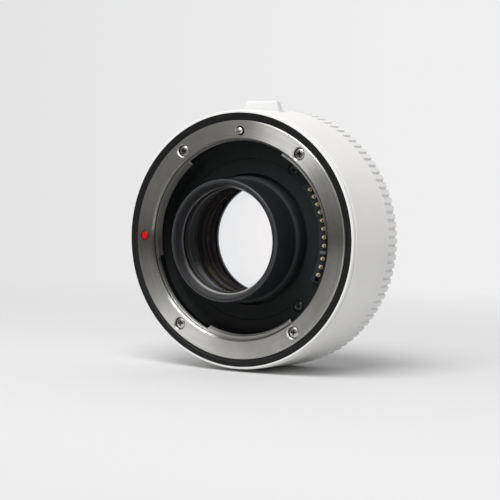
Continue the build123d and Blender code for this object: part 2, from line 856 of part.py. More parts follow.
def make_lock_pin():
    """Domed lock pin with its stop collar, tail and retaining clip."""
    dome = [
        (lock_pin_radius * radius_share, lock_pin_dome * depth_share - lock_pin_stand)
        for radius_share, depth_share in dome_shares
    ]
    collar_front, collar_back = lock_collar_depths()
    clip_front = fork_depths()[1] + screw_seat_gap
    clip_back = clip_front + lock_clip_thickness
    pin = turned(dome + [
        (lock_pin_radius, collar_front),
        (lock_collar_radius, collar_front),
        (lock_collar_radius, collar_back),
        (lock_tail_radius, collar_back),
        (lock_tail_radius, clip_front),
        (lock_clip_radius, clip_front),
        (lock_clip_radius, clip_back),
        (0, clip_back),
    ])
    return at(lock_radius, lock_pin_angle, pin)


def make_lock_spring():
    """Coil spring round the lock pin's tail, from its collar to the boss."""
    margin = spring_wire_radius + seat_gap
    front = lock_collar_depths()[1] + margin
    height = boss_end_depth - lock_guide_length - margin - front
    coil = Helix(height / spring_turns, height, spring_radius)
    section = Plane(origin=coil @ 0, z_dir=coil % 0) * Circle(spring_wire_radius)
    spring = sweep(section, path=coil).rotate(Axis.X, -90)
    return at(lock_radius, lock_pin_angle, Pos(0, front - flange_distance, 0) * spring)


def make_lever_carriage():
    """Sliding plate under the barrel with a fork that pulls the lock pin back."""
    fork_front, fork_back = fork_depths()
    plate_low = carriage_floor + screw_seat_gap
    plate_high = plate_low + carriage_thickness
    plate_end = knob_front_depth + knob_length
    plate_width = (-carriage_half_width, carriage_half_width)
    plate = slab(plate_width, (fork_front, plate_end), (plate_low, plate_high))
    fork_low = lock_radius - fork_reach
    fork = slab((-fork_half_width, fork_half_width), (fork_front, fork_back), (fork_low, plate_high))
    slot_half = lock_tail_radius + screw_seat_gap
    cut_range = (fork_front - cut_overrun, fork_back + cut_overrun)
    slot = slab((-slot_half, slot_half), cut_range, (fork_low - cut_overrun, lock_radius))
    slot_end = at(lock_radius, lock_pin_angle, rod(slot_half, *cut_range))
    return plate + fork - slot - slot_end


def make_release_lever():
    """Finger knob that tapers upward, on a shank that reaches down to the carriage."""
    low = barrel_front_radius - track_sink + screw_seat_gap
    high = barrel_front_radius + knob_height
    back = knob_front_depth + knob_length
    base_middle = (knob_front_depth + back) / 2 - flange_distance
    top_length = knob_length - knob_front_slope
    top_middle = back - top_length / 2 - flange_distance
    base = Pos(0, base_middle, low) * Rectangle(2 * knob_half_width, knob_length)
    top = Pos(0, top_middle, high) * Rectangle(2 * knob_top_half_width, top_length)
    knob = loft([base, top])
    upper_edges = knob.edges().filter_by(lambda edge: edge.center().Z > (low + high) / 2 - knob_fillet)
    knob = fillet(upper_edges, knob_fillet)
    shank_low = carriage_floor + screw_seat_gap + carriage_thickness
    shank_depths = (knob_front_depth + shank_inset, back - shank_inset)
    return knob + slab((-shank_half_width, shank_half_width), shank_depths, (shank_low, low + seat_gap))


def make_optical_tube():
    """Black lens tube: rim, neck, rounded shoulder, swelling and fixing flange."""
    shoulder_front = tube_neck_end_depth + tube_shoulder_rise
    relief_radius = shoulder_radius - tube_neck_relief
    swell_front = floor_back_depth + tube_shoulder_rise
    swell_back = tube_flange_front_depth - tube_flange_thickness
    counterbore = bevel_mouth_radius + bevel_face_width
    bevel_back = bevel_depth + bevel_land - tube_stand
    tube = turned([
        (counterbore, -tube_stand),
        (tube_radius - tube_rim_chamfer, -tube_stand),
        (tube_radius, tube_rim_chamfer - tube_stand),
        (tube_radius, tube_neck_end_depth),
        (shoulder_radius - tube_shoulder_round, tube_neck_end_depth + tube_shoulder_round),
        (shoulder_radius, shoulder_front),
        (shoulder_radius, tube_shoulder_end_depth),
        (relief_radius, tube_shoulder_end_depth + tube_neck_relief),
        (relief_radius, swell_front),
        (rear_tube_radius, swell_back),
        (rear_tube_radius, tube_flange_front_depth),
        (tube_flange_radius, tube_flange_front_depth),
        (tube_flange_radius, web_front_depth),
        (rear_tube_radius, web_front_depth),
        (rear_tube_radius, tube_end_depth),
        (rear_bore_radius, tube_end_depth),
        (rear_bore_radius, rear_seat_depth),
        (lens_bore_radius, rear_seat_depth),
        (lens_bore_radius, bevel_back),
        (counterbore, bevel_back),
    ])
    hole = web_screw_hole(tube_flange_front_depth, 1, screw_seat_gap)
    for angle in tube_screw_angles:
        tube = tube - at(tube_screw_radius, angle, hole)
    return tube


def make_web_screws():
    """Six like screws: three through the tube's flange and three through the board."""
    head = (small_screw_head_radius, small_screw_head_height)
    cross = (small_cross_width, small_cross_span, small_cross_depth)
    length = small_screw_head_height + web_screw_length - body_gap
    screws = []
    front_face = tube_flange_front_depth - small_screw_head_height
    front = screw(front_face, 1, head, small_screw_shank_radius, length, cross)
    for angle in tube_screw_angles:
        screws.append(at(tube_screw_radius, angle, front))
    back_face = board_back_depth + small_screw_head_height
    back = screw(back_face, -1, head, small_screw_shank_radius, length, cross)
    for angle in board_screw_angles:
        screws.append(at(board_screw_radius, angle, back))
    return Compound(screws)


def make_front_bevel_ring():
    """Ring in the tube's mouth with a narrow face, a conical bevel and a short land."""
    outer = bevel_mouth_radius + bevel_face_width - seat_gap
    front = seat_gap - tube_stand
    back = bevel_depth + bevel_land - tube_stand
    return turned([
        (bevel_mouth_radius, front),
        (outer, front),
        (outer, back),
        (bevel_throat_radius, back),
        (bevel_throat_radius, bevel_depth - tube_stand),
    ])


def make_front_retaining_ring():
    """Threaded ring that holds the front lens group, bevelled inside."""
    outer = lens_bore_radius - seat_gap
    inner = lens_bore_radius - retainer_bore_inset
    back = retainer_front_depth + retainer_thickness
    return turned([
        (inner + retainer_chamfer, retainer_front_depth),
        (outer, retainer_front_depth),
        (outer, back),
        (inner, back),
        (inner, retainer_front_depth + retainer_chamfer),
    ])


def make_rear_retaining_ring():
    """Threaded ring that holds the rear lens group, bevelled on its camera side."""
    outer = rear_bore_radius - seat_gap
    inner = rear_bore_radius - rear_retainer_width
    back = glass_end_depth + rear_retainer_thickness
    return turned([
        (inner, glass_end_depth),
        (outer, glass_end_depth),
        (outer, back),
        (inner + retainer_chamfer, back),
        (inner, back - retainer_chamfer),
    ])


def face_stand(radius, bulge, place):
    """How far a spherical face stands outward of its rim at a distance from the axis."""
    sphere = (radius ** 2 + bulge ** 2) / (2 * abs(bulge))
    drop = sphere - sqrt(sphere ** 2 - place ** 2)
    return bulge - drop if bulge > 0 else bulge + drop


def lens_group(radius, depths, bulges):
    """Cemented group with spherical faces; a bulge is how far a face stands outward."""
    front_y, back_y = (depth - flange_distance for depth in depths)
    front_bulge, back_bulge = bulges
    halfway = radius / 2
    half_front = front_y - face_stand(radius, front_bulge, halfway)
    half_back = back_y + face_stand(radius, back_bulge, halfway)
    outline = [
        ThreePointArc((0, front_y - front_bulge), (halfway, half_front), (radius, front_y)),
        Line((radius, front_y), (radius, back_y)),
        ThreePointArc((radius, back_y), (halfway, half_back), (0, back_y + back_bulge)),
        Line((0, back_y + back_bulge), (0, front_y - front_bulge)),
    ]
    return revolve(make_face(outline), axis=Axis.Y)


def group_depths():
    """Rim depths of the three groups: front, middle and rear."""
    small_radius = lens_bore_radius - seat_gap
    large_radius = rear_bore_radius - seat_gap
    front_ring = lens_bore_radius - retainer_bore_inset
    rear_ring = rear_bore_radius - rear_retainer_width
    front_stand = face_stand(small_radius, front_glass_bulges[0], front_ring)
    rear_stand = face_stand(large_radius, rear_glass_bulges[1], rear_ring)
    front_end = glass_front_depth + front_group_share * glass_pack_length
    middle_front = front_end + front_space_share * glass_pack_length
    middle_end = glass_front_depth + middle_group_share * glass_pack_length
    front = (glass_front_depth + seat_gap + front_stand, front_end)
    middle = (middle_front, middle_end)
    rear = (rear_seat_depth + seat_gap, glass_end_depth - seat_gap - rear_stand)
    return front, middle, rear


def make_lens_spacers():
    """The two rings that keep the three groups apart."""
    front, middle, rear = group_depths()
    radii = (lens_bore_radius - spacer_width - seat_gap, lens_bore_radius - seat_gap)
    whole = (0.0, full_turn_angle)
    middle_stand = face_stand(radii[1], middle_glass_bulges[1], radii[0])
    first = arc_block(radii, (front[1] + seat_gap, middle[0] - seat_gap), whole)
    second = arc_block(radii, (middle[1] + seat_gap + middle_stand, rear[0] - seat_gap), whole)
    return first, second


def make_circuit_board():
    """Ring-shaped circuit board behind the web, with three chips soldered on."""
    radii = (rear_tube_radius + board_inner_gap, chassis_inner_radius - board_outer_gap)
    board = arc_block(radii, (board_front_depth, board_back_depth), (0.0, full_turn_angle))
    board = board - front_cable_window(board_front_depth - cut_overrun, board_back_depth + cut_overrun)
    for angle in board_screw_angles:
        hole = web_screw_hole(board_back_depth, -1, screw_seat_gap)
        board = board - at(board_screw_radius, angle, hole)
    middle = (radii[0] + radii[1]) / 2
    width = (radii[1] - radii[0]) / 2
    solids = [board]
    for angle, share in zip(chip_angles, chip_length_shares):
        half = width * share
        x_range = (middle - width / 2, middle + width / 2)
        chip = slab(x_range, (board_back_depth, board_back_depth + chip_height), (-half, half))
        solids.append(chip.rotate(Axis.Y, -angle))
    return Compound(solids)


def make_front_flex_cable():
    """Flexible circuit: a strip behind the pins, then a run through the web to the board."""
    strip_depth = block_back_depth + seat_gap
    strip_radii = (contact_radius - block_half_width, block_outer_radius)
    strip = arc_block(strip_radii, (strip_depth, strip_depth + cable_thickness), contact_block_angles())
    run_radius = front_cable_radius
    strip_middle = strip_depth + cable_thickness / 2
    end_depth = board_back_depth + seat_gap + cable_thickness / 2
    route = [
        (strip_radii[1] - cable_thickness, strip_middle),
        (run_radius, strip_middle),
        (run_radius, end_depth),
        (run_radius - cable_window_gap - cable_lap, end_depth),
    ]
    return strip + ribbon(route, cable_thickness, cable_half_width, front_cable_angle)


def make_rear_flex_cable():
    """Flexible circuit from the board back to the camera-side contact block."""
    start_depth = board_back_depth + seat_gap + cable_thickness / 2
    run_radius = camera_block_inner_radius + cable_thickness
    end_depth = rear_web_back_depth - seat_gap
    route = [
        (run_radius + cable_lap, start_depth),
        (run_radius, start_depth),
        (run_radius, end_depth),
    ]
    return ribbon(route, cable_thickness, cable_half_width, rear_cable_angle)


def make_camera_mount_ring():
    """Male bayonet ring: flange, neck and three lugs, with a socket for the camera's pin."""
    neck_end = flange_distance + neck_length
    relief = lug_radius + flange_relief_width
    ring = turned([
        (neck_inner_radius, camera_ring_front_depth + seat_gap),
        (mount_ring_radius, camera_ring_front_depth + seat_gap),
        (mount_ring_radius, flange_distance - ring_edge_chamfer),
        (mount_ring_radius - ring_edge_chamfer, flange_distance),
        (relief, flange_distance),
        (relief, flange_distance - flange_relief_depth),
        (neck_radius, flange_distance - flange_relief_depth),
        (neck_radius, neck_end - lug_chamfer),
        (neck_radius - lug_chamfer, neck_end),
        (neck_inner_radius, neck_end),
    ])
    lug = [
        (neck_radius - lug_chamfer, flange_distance + lug_front),
        (lug_radius, flange_distance + lug_front),
        (lug_radius, neck_end - lug_chamfer),
        (lug_radius - lug_chamfer, neck_end),
        (neck_radius - lug_chamfer, neck_end),
    ]
    for angles in lug_angles:
        ring = ring + turned(lug, *angles)
    for cut in ring_screw_cuts(flange_distance, -1):
        ring = ring - cut
    socket = rod(lock_socket_radius, flange_distance - lock_socket_depth, flange_distance + cut_overrun)
    return ring - at(lock_radius, lock_pin_angle, socket)


def camera_block_angles():
    """First and last angle of the camera-side block's raised strip."""
    return widened((contact_angles[-1], contact_angles[0]), camera_block_end_angle)


def camera_ear_angles():
    """First and last angle of that block's screw ears."""
    return widened(camera_block_screw_angles[::-1], camera_ear_angle)


def make_camera_contact_block():
    """Moulded block that carries the camera-side pads, with an ear at each end."""
    radii = (camera_block_inner_radius, camera_block_radius)
    front = rear_web_back_depth + seat_gap
    block = arc_block(radii, (front, camera_block_face_depth), camera_block_angles())
    ears = arc_block(radii, (front, camera_baffle_back_depth - seat_gap), camera_ear_angles())
    block = block + ears
    seat_depths = (camera_block_face_depth - pad_sink, camera_block_face_depth + cut_overrun)
    seat = rod(pad_radius + seat_gap, *seat_depths)
    for angle in contact_angles:
        block = block - at(pad_pitch_radius, angle, seat)
    for angle in camera_block_screw_angles:
        block = block - at(camera_screw_radius, angle, camera_screw_hole(seat_gap))
    return block


def make_camera_contact_pads():
    """Eleven round contact pads in the block's face."""
    front = camera_block_face_depth - pad_sink
    pad = rod(pad_radius, front, front + pad_thickness)
    return Compound([at(pad_pitch_radius, angle, pad) for angle in contact_angles])


def make_camera_contact_screws():
    """Two small screws through the baffle and the block's ears."""
    head = (small_screw_head_radius, small_screw_head_height)
    cross = (small_cross_width, small_cross_span, small_cross_depth)
    face_depth = camera_baffle_face_depth + small_screw_head_height
    pattern = screw(face_depth, -1, head, small_screw_shank_radius, camera_screw_length, cross)
    return Compound([at(camera_screw_radius, angle, pattern) for angle in camera_block_screw_angles])


def make_camera_baffle():
    """Black baffle inside the male bayonet: conical opening, floor and skirt."""
    opening = rear_bore_radius + camera_baffle_opening_gap
    slope_end = opening + camera_baffle_slope
    opening_depth = camera_baffle_face_depth - camera_baffle_slope
    skirt_inner = camera_block_radius - camera_baffle_skirt
    under = tube_end_depth + seat_gap + screw_seat_gap
    baffle = turned([
        (opening, under),
        (opening, opening_depth),
        (slope_end, camera_baffle_face_depth),
        (camera_block_radius, camera_baffle_face_depth),
        (camera_block_radius, rear_web_back_depth + seat_gap),
        (skirt_inner, rear_web_back_depth + seat_gap),
        (skirt_inner, camera_baffle_back_depth),
        (slope_end + camera_baffle_thickness / 2, camera_baffle_back_depth),
        (opening + camera_baffle_thickness, under),
    ])
    wide = (camera_block_inner_radius - seat_gap, camera_block_radius + cut_overrun)
    window_depths = (tube_end_depth, camera_block_face_depth)
    window = arc_block(wide, window_depths, widened(camera_block_angles(), window_gap_angle))
    ear_depths = (rear_web_front_depth, camera_baffle_back_depth)
    ears = arc_block(wide, ear_depths, widened(camera_ear_angles(), window_gap_angle))
    baffle = baffle - window - ears
    for angle in camera_block_screw_angles:
        baffle = baffle - at(camera_screw_radius, angle, camera_screw_hole(screw_seat_gap))
    return baffle


def make_weather_seal():
    """Rubber ring round the camera-side flange with a lip that stands proud of it."""
    inner = mount_ring_radius + seat_gap
    outer = barrel_inner_radius - seat_gap
    front = camera_ring_front_depth + seat_gap
    return turned([
        (inner, front),
        (outer, front),
        (outer, flange_distance - ring_edge_chamfer),
        (inner + seal_lip_width + seat_gap, flange_distance + seal_lip),
        (inner + seat_gap, flange_distance + seal_lip),
        (inner, flange_distance),
    ])


front_glass, middle_glass, rear_glass = group_depths()
front_spacer, rear_spacer = make_lens_spacers()

parts = {
    "lens_mount_ring": make_lens_mount_ring(),
    "lens_mount_screws": ring_screws(screw_sink, 1),
    "lens_index_dot": make_lens_index_dot(),
    "mount_shim": make_mount_shim(),
    "bayonet_springs": make_bayonet_springs(),
    "lens_trim_ring": make_lens_trim_ring(),
    "front_rim_ring": make_front_rim_ring(),
    "main_barrel": make_main_barrel(),
    "chassis": make_chassis(),
    "cavity_baffle": make_cavity_baffle(),
    "front_contact_block": make_front_contact_block(),
    "front_contact_screws": make_front_contact_screws(),
    "lock_pin": make_lock_pin(),
    "lock_spring": make_lock_spring(),
    "lever_carriage": make_lever_carriage(),
    "release_lever": make_release_lever(),
    "optical_tube": make_optical_tube(),
    "web_screws": make_web_screws(),
    "front_bevel_ring": make_front_bevel_ring(),
    "front_retaining_ring": make_front_retaining_ring(),
    "front_lens_group": lens_group(lens_bore_radius - seat_gap, front_glass, front_glass_bulges),
    "lens_spacer_front": front_spacer,
    "middle_lens_group": lens_group(lens_bore_radius - seat_gap, middle_glass, middle_glass_bulges),
    "lens_spacer_rear": rear_spacer,
    "rear_lens_group": lens_group(rear_bore_radius - seat_gap, rear_glass, rear_glass_bulges),
    "rear_retaining_ring": make_rear_retaining_ring(),
    "circuit_board": make_circuit_board(),
    "front_flex_cable": make_front_flex_cable(),
    "rear_flex_cable": make_rear_flex_cable(),
    "camera_mount_ring": make_camera_mount_ring(),
    "camera_mount_screws": ring_screws(flange_distance - screw_sink, -1),
    "camera_contact_block": make_camera_contact_block(),
    "camera_contact_pads": make_camera_contact_pads(),
    "camera_contact_screws": make_camera_contact_screws(),
    "camera_baffle": make_camera_baffle(),
    "weather_seal": make_weather_seal(),
    "camera_index_dot": camera_dot(camera_dot_radius, camera_dot_proud),
}
for number, angle in enumerate(contact_angles, start=1):
    parts[f"contact_pin_{number:02d}"] = make_contact_pin(angle)
    parts[f"contact_spring_{number:02d}"] = make_contact_spring(angle)

os.makedirs("parts", exist_ok=True)
for name, shape in parts.items():
    export_step(shape, f"parts/{name}.step")
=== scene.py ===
import bmesh
import bpy
import json
from math import cos, pi, radians, sin, sqrt
from mathutils import Matrix, Vector


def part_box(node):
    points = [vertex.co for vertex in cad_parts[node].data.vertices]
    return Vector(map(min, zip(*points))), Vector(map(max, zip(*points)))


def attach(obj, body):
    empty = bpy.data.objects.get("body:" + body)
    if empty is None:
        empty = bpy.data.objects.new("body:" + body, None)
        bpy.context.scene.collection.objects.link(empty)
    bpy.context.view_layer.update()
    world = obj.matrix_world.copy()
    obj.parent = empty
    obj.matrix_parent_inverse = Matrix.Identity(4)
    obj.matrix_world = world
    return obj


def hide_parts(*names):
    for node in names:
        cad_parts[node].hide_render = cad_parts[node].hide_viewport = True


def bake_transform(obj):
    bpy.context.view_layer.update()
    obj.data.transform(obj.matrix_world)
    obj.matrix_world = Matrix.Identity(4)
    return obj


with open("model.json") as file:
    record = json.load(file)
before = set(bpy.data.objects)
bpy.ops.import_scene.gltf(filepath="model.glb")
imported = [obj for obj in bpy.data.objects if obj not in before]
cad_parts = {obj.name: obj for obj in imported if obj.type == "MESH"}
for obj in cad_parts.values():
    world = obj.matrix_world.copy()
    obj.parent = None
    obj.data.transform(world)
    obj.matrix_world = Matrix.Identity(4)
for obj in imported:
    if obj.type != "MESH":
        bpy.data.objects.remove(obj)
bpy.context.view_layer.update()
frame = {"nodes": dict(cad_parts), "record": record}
nodes = frame["nodes"]
root_body = "converter_body"

# Sizes in millimetres, the same as in the part's source. The origin is on the camera-side flange,
# +Y points to the camera side, and a depth is counted from the lens-side flange towards the camera.
flange_distance = 27.2
index_dot_ring_radius = 30.00
contact_radius = 24.10
lens_radius_small = 14.84
lens_radius_large = 16.64

# Zones that have a look of their own, most of them painted shade or painted light: radii and
# depths in millimetres, angles in radians.
ring_hole_radii = (28.2, 32.0)
throat_wall_radii = (26.9, 27.4)
throat_wall_end_depth = 1.15
throat_chamfer_radius = 27.9
screw_cross_depths = (0.74, 0.88)
black_screw_cross_depths = (0.26, 0.36)
index_dot_rim_radii = (0.55, 1.2)
contact_gap_radii = (contact_radius - 0.1, contact_radius + 0.3)
key_rib_angle = radians(-6.0)
key_rib_half_angle = 0.0185
key_rib_end_depth = 4.95
tube_rim_depths = (-7.15, -7.35)
tube_shoulder_depth = 2.5
bevel_edge_radii = (14.58, 14.42)
lens_edge_start_depth = -2.0

# Meshes that are turned about the optical axis
turn_steps = 160
lens_face_steps = 28

# Light trap: fine threads behind the bevel
light_trap_depths = (-4.93, -3.43)
light_trap_radii = (14.88, 14.50)
light_trap_pitch = 0.30
light_trap_gap = 0.02

# Lens groups: scene piece, CAD node, radius, depths of the rim's front and back, and how far the
# front and back faces bulge; below zero they are hollow.
lenses = [
    ("front_lens_glass", "front_lens_group", lens_radius_small, (-1.86, 7.90), (0.8, -1.2)),
    ("middle_lens_glass", "middle_lens_group", lens_radius_small, (9.80, 14.79), (-0.9, 0.6)),
    ("rear_lens_glass", "rear_lens_group", lens_radius_large, (16.35, 23.26), (-1.0, 0.7)),
]

# Glow of what lies round the glass, from front to back, placed by the lens groups. A stretch has
# the two depths between which it is even, a tint, and its level on the sides and top of the bore
# and on its lower side. Between two stretches one passes over into the other: glow_margin sets how
# far they stay from the ends of the pieces, and glow_line is the width of a line to one side.
(front_start, front_end), (middle_start, middle_end), (rear_start, rear_end) = (
    depths for _, _, _, depths, _ in lenses)
cemented_depth = (middle_start + middle_end) / 2
glow_margin = 0.7
glow_line = 0.2
cool_tint = (0.94, 1.0, 1.08)
warm_tint = (1.06, 1.0, 0.80)
edge_glows = [
    # Shade of the retaining ring, edge of the front group, and the spacer behind it in its shade
    ((lens_edge_start_depth, front_start + glow_margin), cool_tint, (0.0, 0.0)),
    ((front_start + 2 * glow_margin, front_end - glow_margin), cool_tint, (0.014, 0.150)),
    ((front_end, middle_start - 2 * glow_margin), cool_tint, (0.003, 0.006)),
    # Front rim of the middle group, and the cemented face within its edge
    ((middle_start - glow_line, middle_start), warm_tint, (0.001, 0.080)),
    ((middle_start + glow_margin, cemented_depth - 2 * glow_margin), warm_tint, (0.002, 0.012)),
    ((cemented_depth - glow_line, cemented_depth + glow_line), warm_tint, (0.011, 0.036)),
    ((cemented_depth + 2 * glow_margin, middle_end - glow_margin), warm_tint, (0.003, 0.012)),
    # Edge of the rear group, and its back rim
    ((rear_start - glow_margin, rear_end - 3 * glow_margin), cool_tint, (0.003, 0.021)),
    ((rear_end, flange_distance), cool_tint, (0.012, 0.036)),
]

# Floor, in metres. From the first to the second place on an axis, or radius, it fades over: into
# the plain surround, and in gloss into the dim room on its front left.
floor_height = -0.03601
floor_radius = 0.32
floor_steps = 96
floor_fade_radii = (0.10, 0.30)
floor_dim_y = (-0.03, -0.16)
floor_dim_x = (0.08, 0.0)
floor_backdrop_ends = (-0.12, 0.064)
floor_colour = (0.69, 0.69, 0.69)

# Room. The colour of the light that comes from a direction fades between two ends, which are
# measured on a unit vector: to the right in the photograph's view (X, Y), up and to the front
# (Y, Z), to the back (Y, tilted by a share of X), or to +X.
view_right = (0.864, 0.504)
overhead_front = (-0.6, 0.8)
overhead_ends = (0.60, 0.85)
behind_tilt = 0.4
behind_ends = (-0.35, -0.10)
backdrop_ends = (-0.15, 0.08)
ambient_ends = (-0.2, 0.7)
surround = (0.853, 0.853, 0.858)
surround_left = (0.765, 0.765, 0.775)
surround_right = (0.868, 0.868, 0.872)
window_light = (0.885, 0.866, 0.882)
room_dark = (0.064, 0.062, 0.055)
overhead_panel = (0.70, 0.70, 0.69)
ambient_left = (0.68, 0.68, 0.685)
ambient_right = (0.43, 0.43, 0.435)

# Lamps: name, place and size in metres, and power in watts; all are turned to lamp_target.
lamp_target = (0, -0.02, 0)
lamps = [
    ("overhead_softbox", (0.08, -0.61, 0.91), (0.82, 0.55), 9.7),
    ("left_softbox", (-0.95, -0.32, 0.32), (0.6, 0.6), 0.6),
]

# Camera: the view of the photograph, towards the middle of the lens-side flange
camera_azimuth = radians(30.244)
camera_elevation = radians(2.707)
camera_roll = radians(-1.257)
camera_distance = 0.48901
camera_sensor_width = 36.0
camera_focal_length = 129.6
photo_width = 500
photo_shift = (12.597, -10.081)


def at_depth(depth):
    """Place on the Y axis, in millimetres, of a depth."""
    return depth - flange_distance


# Mesh helpers

def mesh_piece(name, vertices, faces, materials, face_slots=None):
    """New smooth object from vertices in metres, with its normals outwards."""
    mesh = bpy.data.meshes.new(name)
    mesh.from_pydata(vertices, [], faces)
    for material in materials:
        mesh.materials.append(material)
    for index, polygon in enumerate(mesh.polygons):
        polygon.use_smooth = True
        if face_slots:
            polygon.material_index = face_slots[index]
    shape = bmesh.new()
    shape.from_mesh(mesh)
    bmesh.ops.recalc_face_normals(shape, faces=shape.faces)
    shape.to_mesh(mesh)
    shape.free()
    piece = bpy.data.objects.new(name, mesh)
    bpy.context.scene.collection.objects.link(piece)
    return piece


def lathe(name, profile, materials, slots=None, closed=True):
    """Ring or disc turned about the optical axis from (radius, depth) points in millimetres.

    Each step of the profile may have a material slot of its own.
    """
    vertices, faces, face_slots, rows = [], [], [], []
    for radius, depth in profile:
        y = at_depth(depth) / 1000
        first = len(vertices)
        if radius == 0:
            vertices.append((0, y, 0))
        else:
            for step in range(turn_steps):
                angle = 2 * pi * step / turn_steps
                vertices.append((radius / 1000 * cos(angle), y, radius / 1000 * sin(angle)))
        rows.append(range(first, len(vertices)))
    pairs = list(zip(rows, rows[1:]))
    if closed:
        pairs.append((rows[-1], rows[0]))
    for index, (low, high) in enumerate(pairs):
        for step in range(turn_steps):
            after = (step + 1) % turn_steps
            if len(low) == 1:
                face = (low[0], high[after], high[step])
            elif len(high) == 1:
                face = (low[step], low[after], high[0])
            else:
                face = (low[step], low[after], high[after], high[step])
            faces.append(face)
            face_slots.append(slots[index] if slots else 0)
    return mesh_piece(name, vertices, faces, materials, face_slots)


# Shader helpers

def feed(tree, socket, value):
    """Sets a socket to a number or a colour, or links it to another node's output."""
    if isinstance(value, (int, float)):
        socket.default_value = value
    elif isinstance(value, tuple):
        socket.default_value = (*value, 1.0)
    else:
        tree.links.new(value, socket)


def dress(tree, shader, settings):
    """Feeds a shader's sockets by name."""
    for name, value in settings.items():
        feed(tree, shader.inputs[name], value)


def new_material(name):
    material = bpy.data.materials.new(name)
    material.use_nodes = True
    tree = material.node_tree
    tree.nodes.clear()
    output = tree.nodes.new("ShaderNodeOutputMaterial")
    shader = tree.nodes.new("ShaderNodeBsdfPrincipled")
    tree.links.new(shader.outputs["BSDF"], output.inputs["Surface"])
    return material, tree, shader


def coordinates(tree, scale=1000.0):
    """Object coordinates in millimetres, or in another unit by scale."""
    source = tree.nodes.new("ShaderNodeTexCoord")
    scaled = tree.nodes.new("ShaderNodeVectorMath")
    scaled.operation = "SCALE"
    scaled.inputs["Scale"].default_value = scale
    tree.links.new(source.outputs["Object"], scaled.inputs[0])
    return scaled.outputs["Vector"]


def parts_of(tree, vector):
    """The X, Y and Z of a vector."""
    split = tree.nodes.new("ShaderNodeSeparateXYZ")
    tree.links.new(vector, split.inputs[0])
    return split.outputs


def math_node(tree, operation, *values):
    node = tree.nodes.new("ShaderNodeMath")
    node.operation = operation
    for socket, value in zip(node.inputs, values):
        feed(tree, socket, value)
    return node.outputs["Value"]


def multiply(tree, first, second):
    return math_node(tree, "MULTIPLY", first, second)


def add(tree, first, second):
    return math_node(tree, "ADD", first, second)


def subtract(tree, first, second):
    return math_node(tree, "SUBTRACT", first, second)


def weighted(tree, value, weight, rest):
    """value * weight + rest"""
    return math_node(tree, "MULTIPLY_ADD", value, weight, rest)


def above(tree, value, limit):
    return math_node(tree, "GREATER_THAN", value, limit)


def below(tree, value, limit):
    return math_node(tree, "LESS_THAN", value, limit)


def within(tree, value, limits):
    """1 between two limits, 0 elsewhere."""
    return multiply(tree, above(tree, value, limits[0]), below(tree, value, limits[1]))


def hypotenuse(tree, first, second):
    squares = add(tree, multiply(tree, first, first), multiply(tree, second, second))
    return math_node(tree, "SQRT", squares)


def polar(tree):
    """(radius in mm, angle in radians, y in mm) about the optical axis."""
    x, y, z = parts_of(tree, coordinates(tree))
    return hypotenuse(tree, x, z), math_node(tree, "ARCTAN2", z, x), y


def facing_axis(tree):
    """1 where a face looks along the optical axis, 0 where it runs along it."""
    source = tree.nodes.new("ShaderNodeTexCoord")
    return math_node(tree, "ABSOLUTE", parts_of(tree, source.outputs["Normal"])["Y"])


def combine(tree, x, y, z):
    node = tree.nodes.new("ShaderNodeCombineXYZ")
    for socket, value in zip(node.inputs, (x, y, z)):
        feed(tree, socket, value)
    return node.outputs["Vector"]


def turned_place(tree, place, scales):
    """Polar place, scaled so that a noise in it looks like the marks of turning."""
    return combine(tree, *(multiply(tree, value, scale) for value, scale in zip(place, scales)))


def noise(tree, vector, scale, detail=2.0, roughness=0.5):
    node = tree.nodes.new("ShaderNodeTexNoise")
    node.inputs["Scale"].default_value = scale
    node.inputs["Detail"].default_value = detail
    node.inputs["Roughness"].default_value = roughness
    tree.links.new(vector, node.inputs["Vector"])
    return node.outputs["Fac"]


def ramp(tree, value, stops):
    node = tree.nodes.new("ShaderNodeValToRGB")
    elements = node.color_ramp.elements
    while len(elements) < len(stops):
        elements.new(0.5)
    for element, (place, colour) in zip(elements, stops):
        element.position = place
        element.color = (*colour, 1.0)
    tree.links.new(value, node.inputs["Fac"])
    return node.outputs["Color"]


def two_tone(tree, value, dark, light, ends=(0.3, 0.7)):
    """Colour between two tones by a noise value."""
    return ramp(tree, value, [(ends[0], dark), (ends[1], light)])


def spread(tree, value, low, high, source=(0.3, 0.7)):
    """Maps a noise value, or another source range, onto low to high."""
    node = tree.nodes.new("ShaderNodeMapRange")
    node.inputs["From Min"].default_value = source[0]
    node.inputs["From Max"].default_value = source[1]
    node.inputs["To Min"].default_value = low
    node.inputs["To Max"].default_value = high
    tree.links.new(value, node.inputs["Value"])
    return node.outputs["Result"]


def fade(tree, value, ends):
    """0 at the first end and before it, 1 at the second end and past it."""
    return spread(tree, value, 0.0, 1.0, ends)


def bump(tree, shader, height, distance_mm, strength):
    node = tree.nodes.new("ShaderNodeBump")
    node.inputs["Strength"].default_value = strength
    node.inputs["Distance"].default_value = distance_mm / 1000
    tree.links.new(height, node.inputs["Height"])
    tree.links.new(node.outputs["Normal"], shader.inputs["Normal"])


def mix_colours(tree, factor, first, second, blend_type="MIX"):
    node = tree.nodes.new("ShaderNodeMix")
    node.data_type = "RGBA"
    node.blend_type = blend_type
    feed(tree, node.inputs["Factor"], factor)
    feed(tree, node.inputs[6], first)
    feed(tree, node.inputs[7], second)
    return node.outputs[2]


# Metals

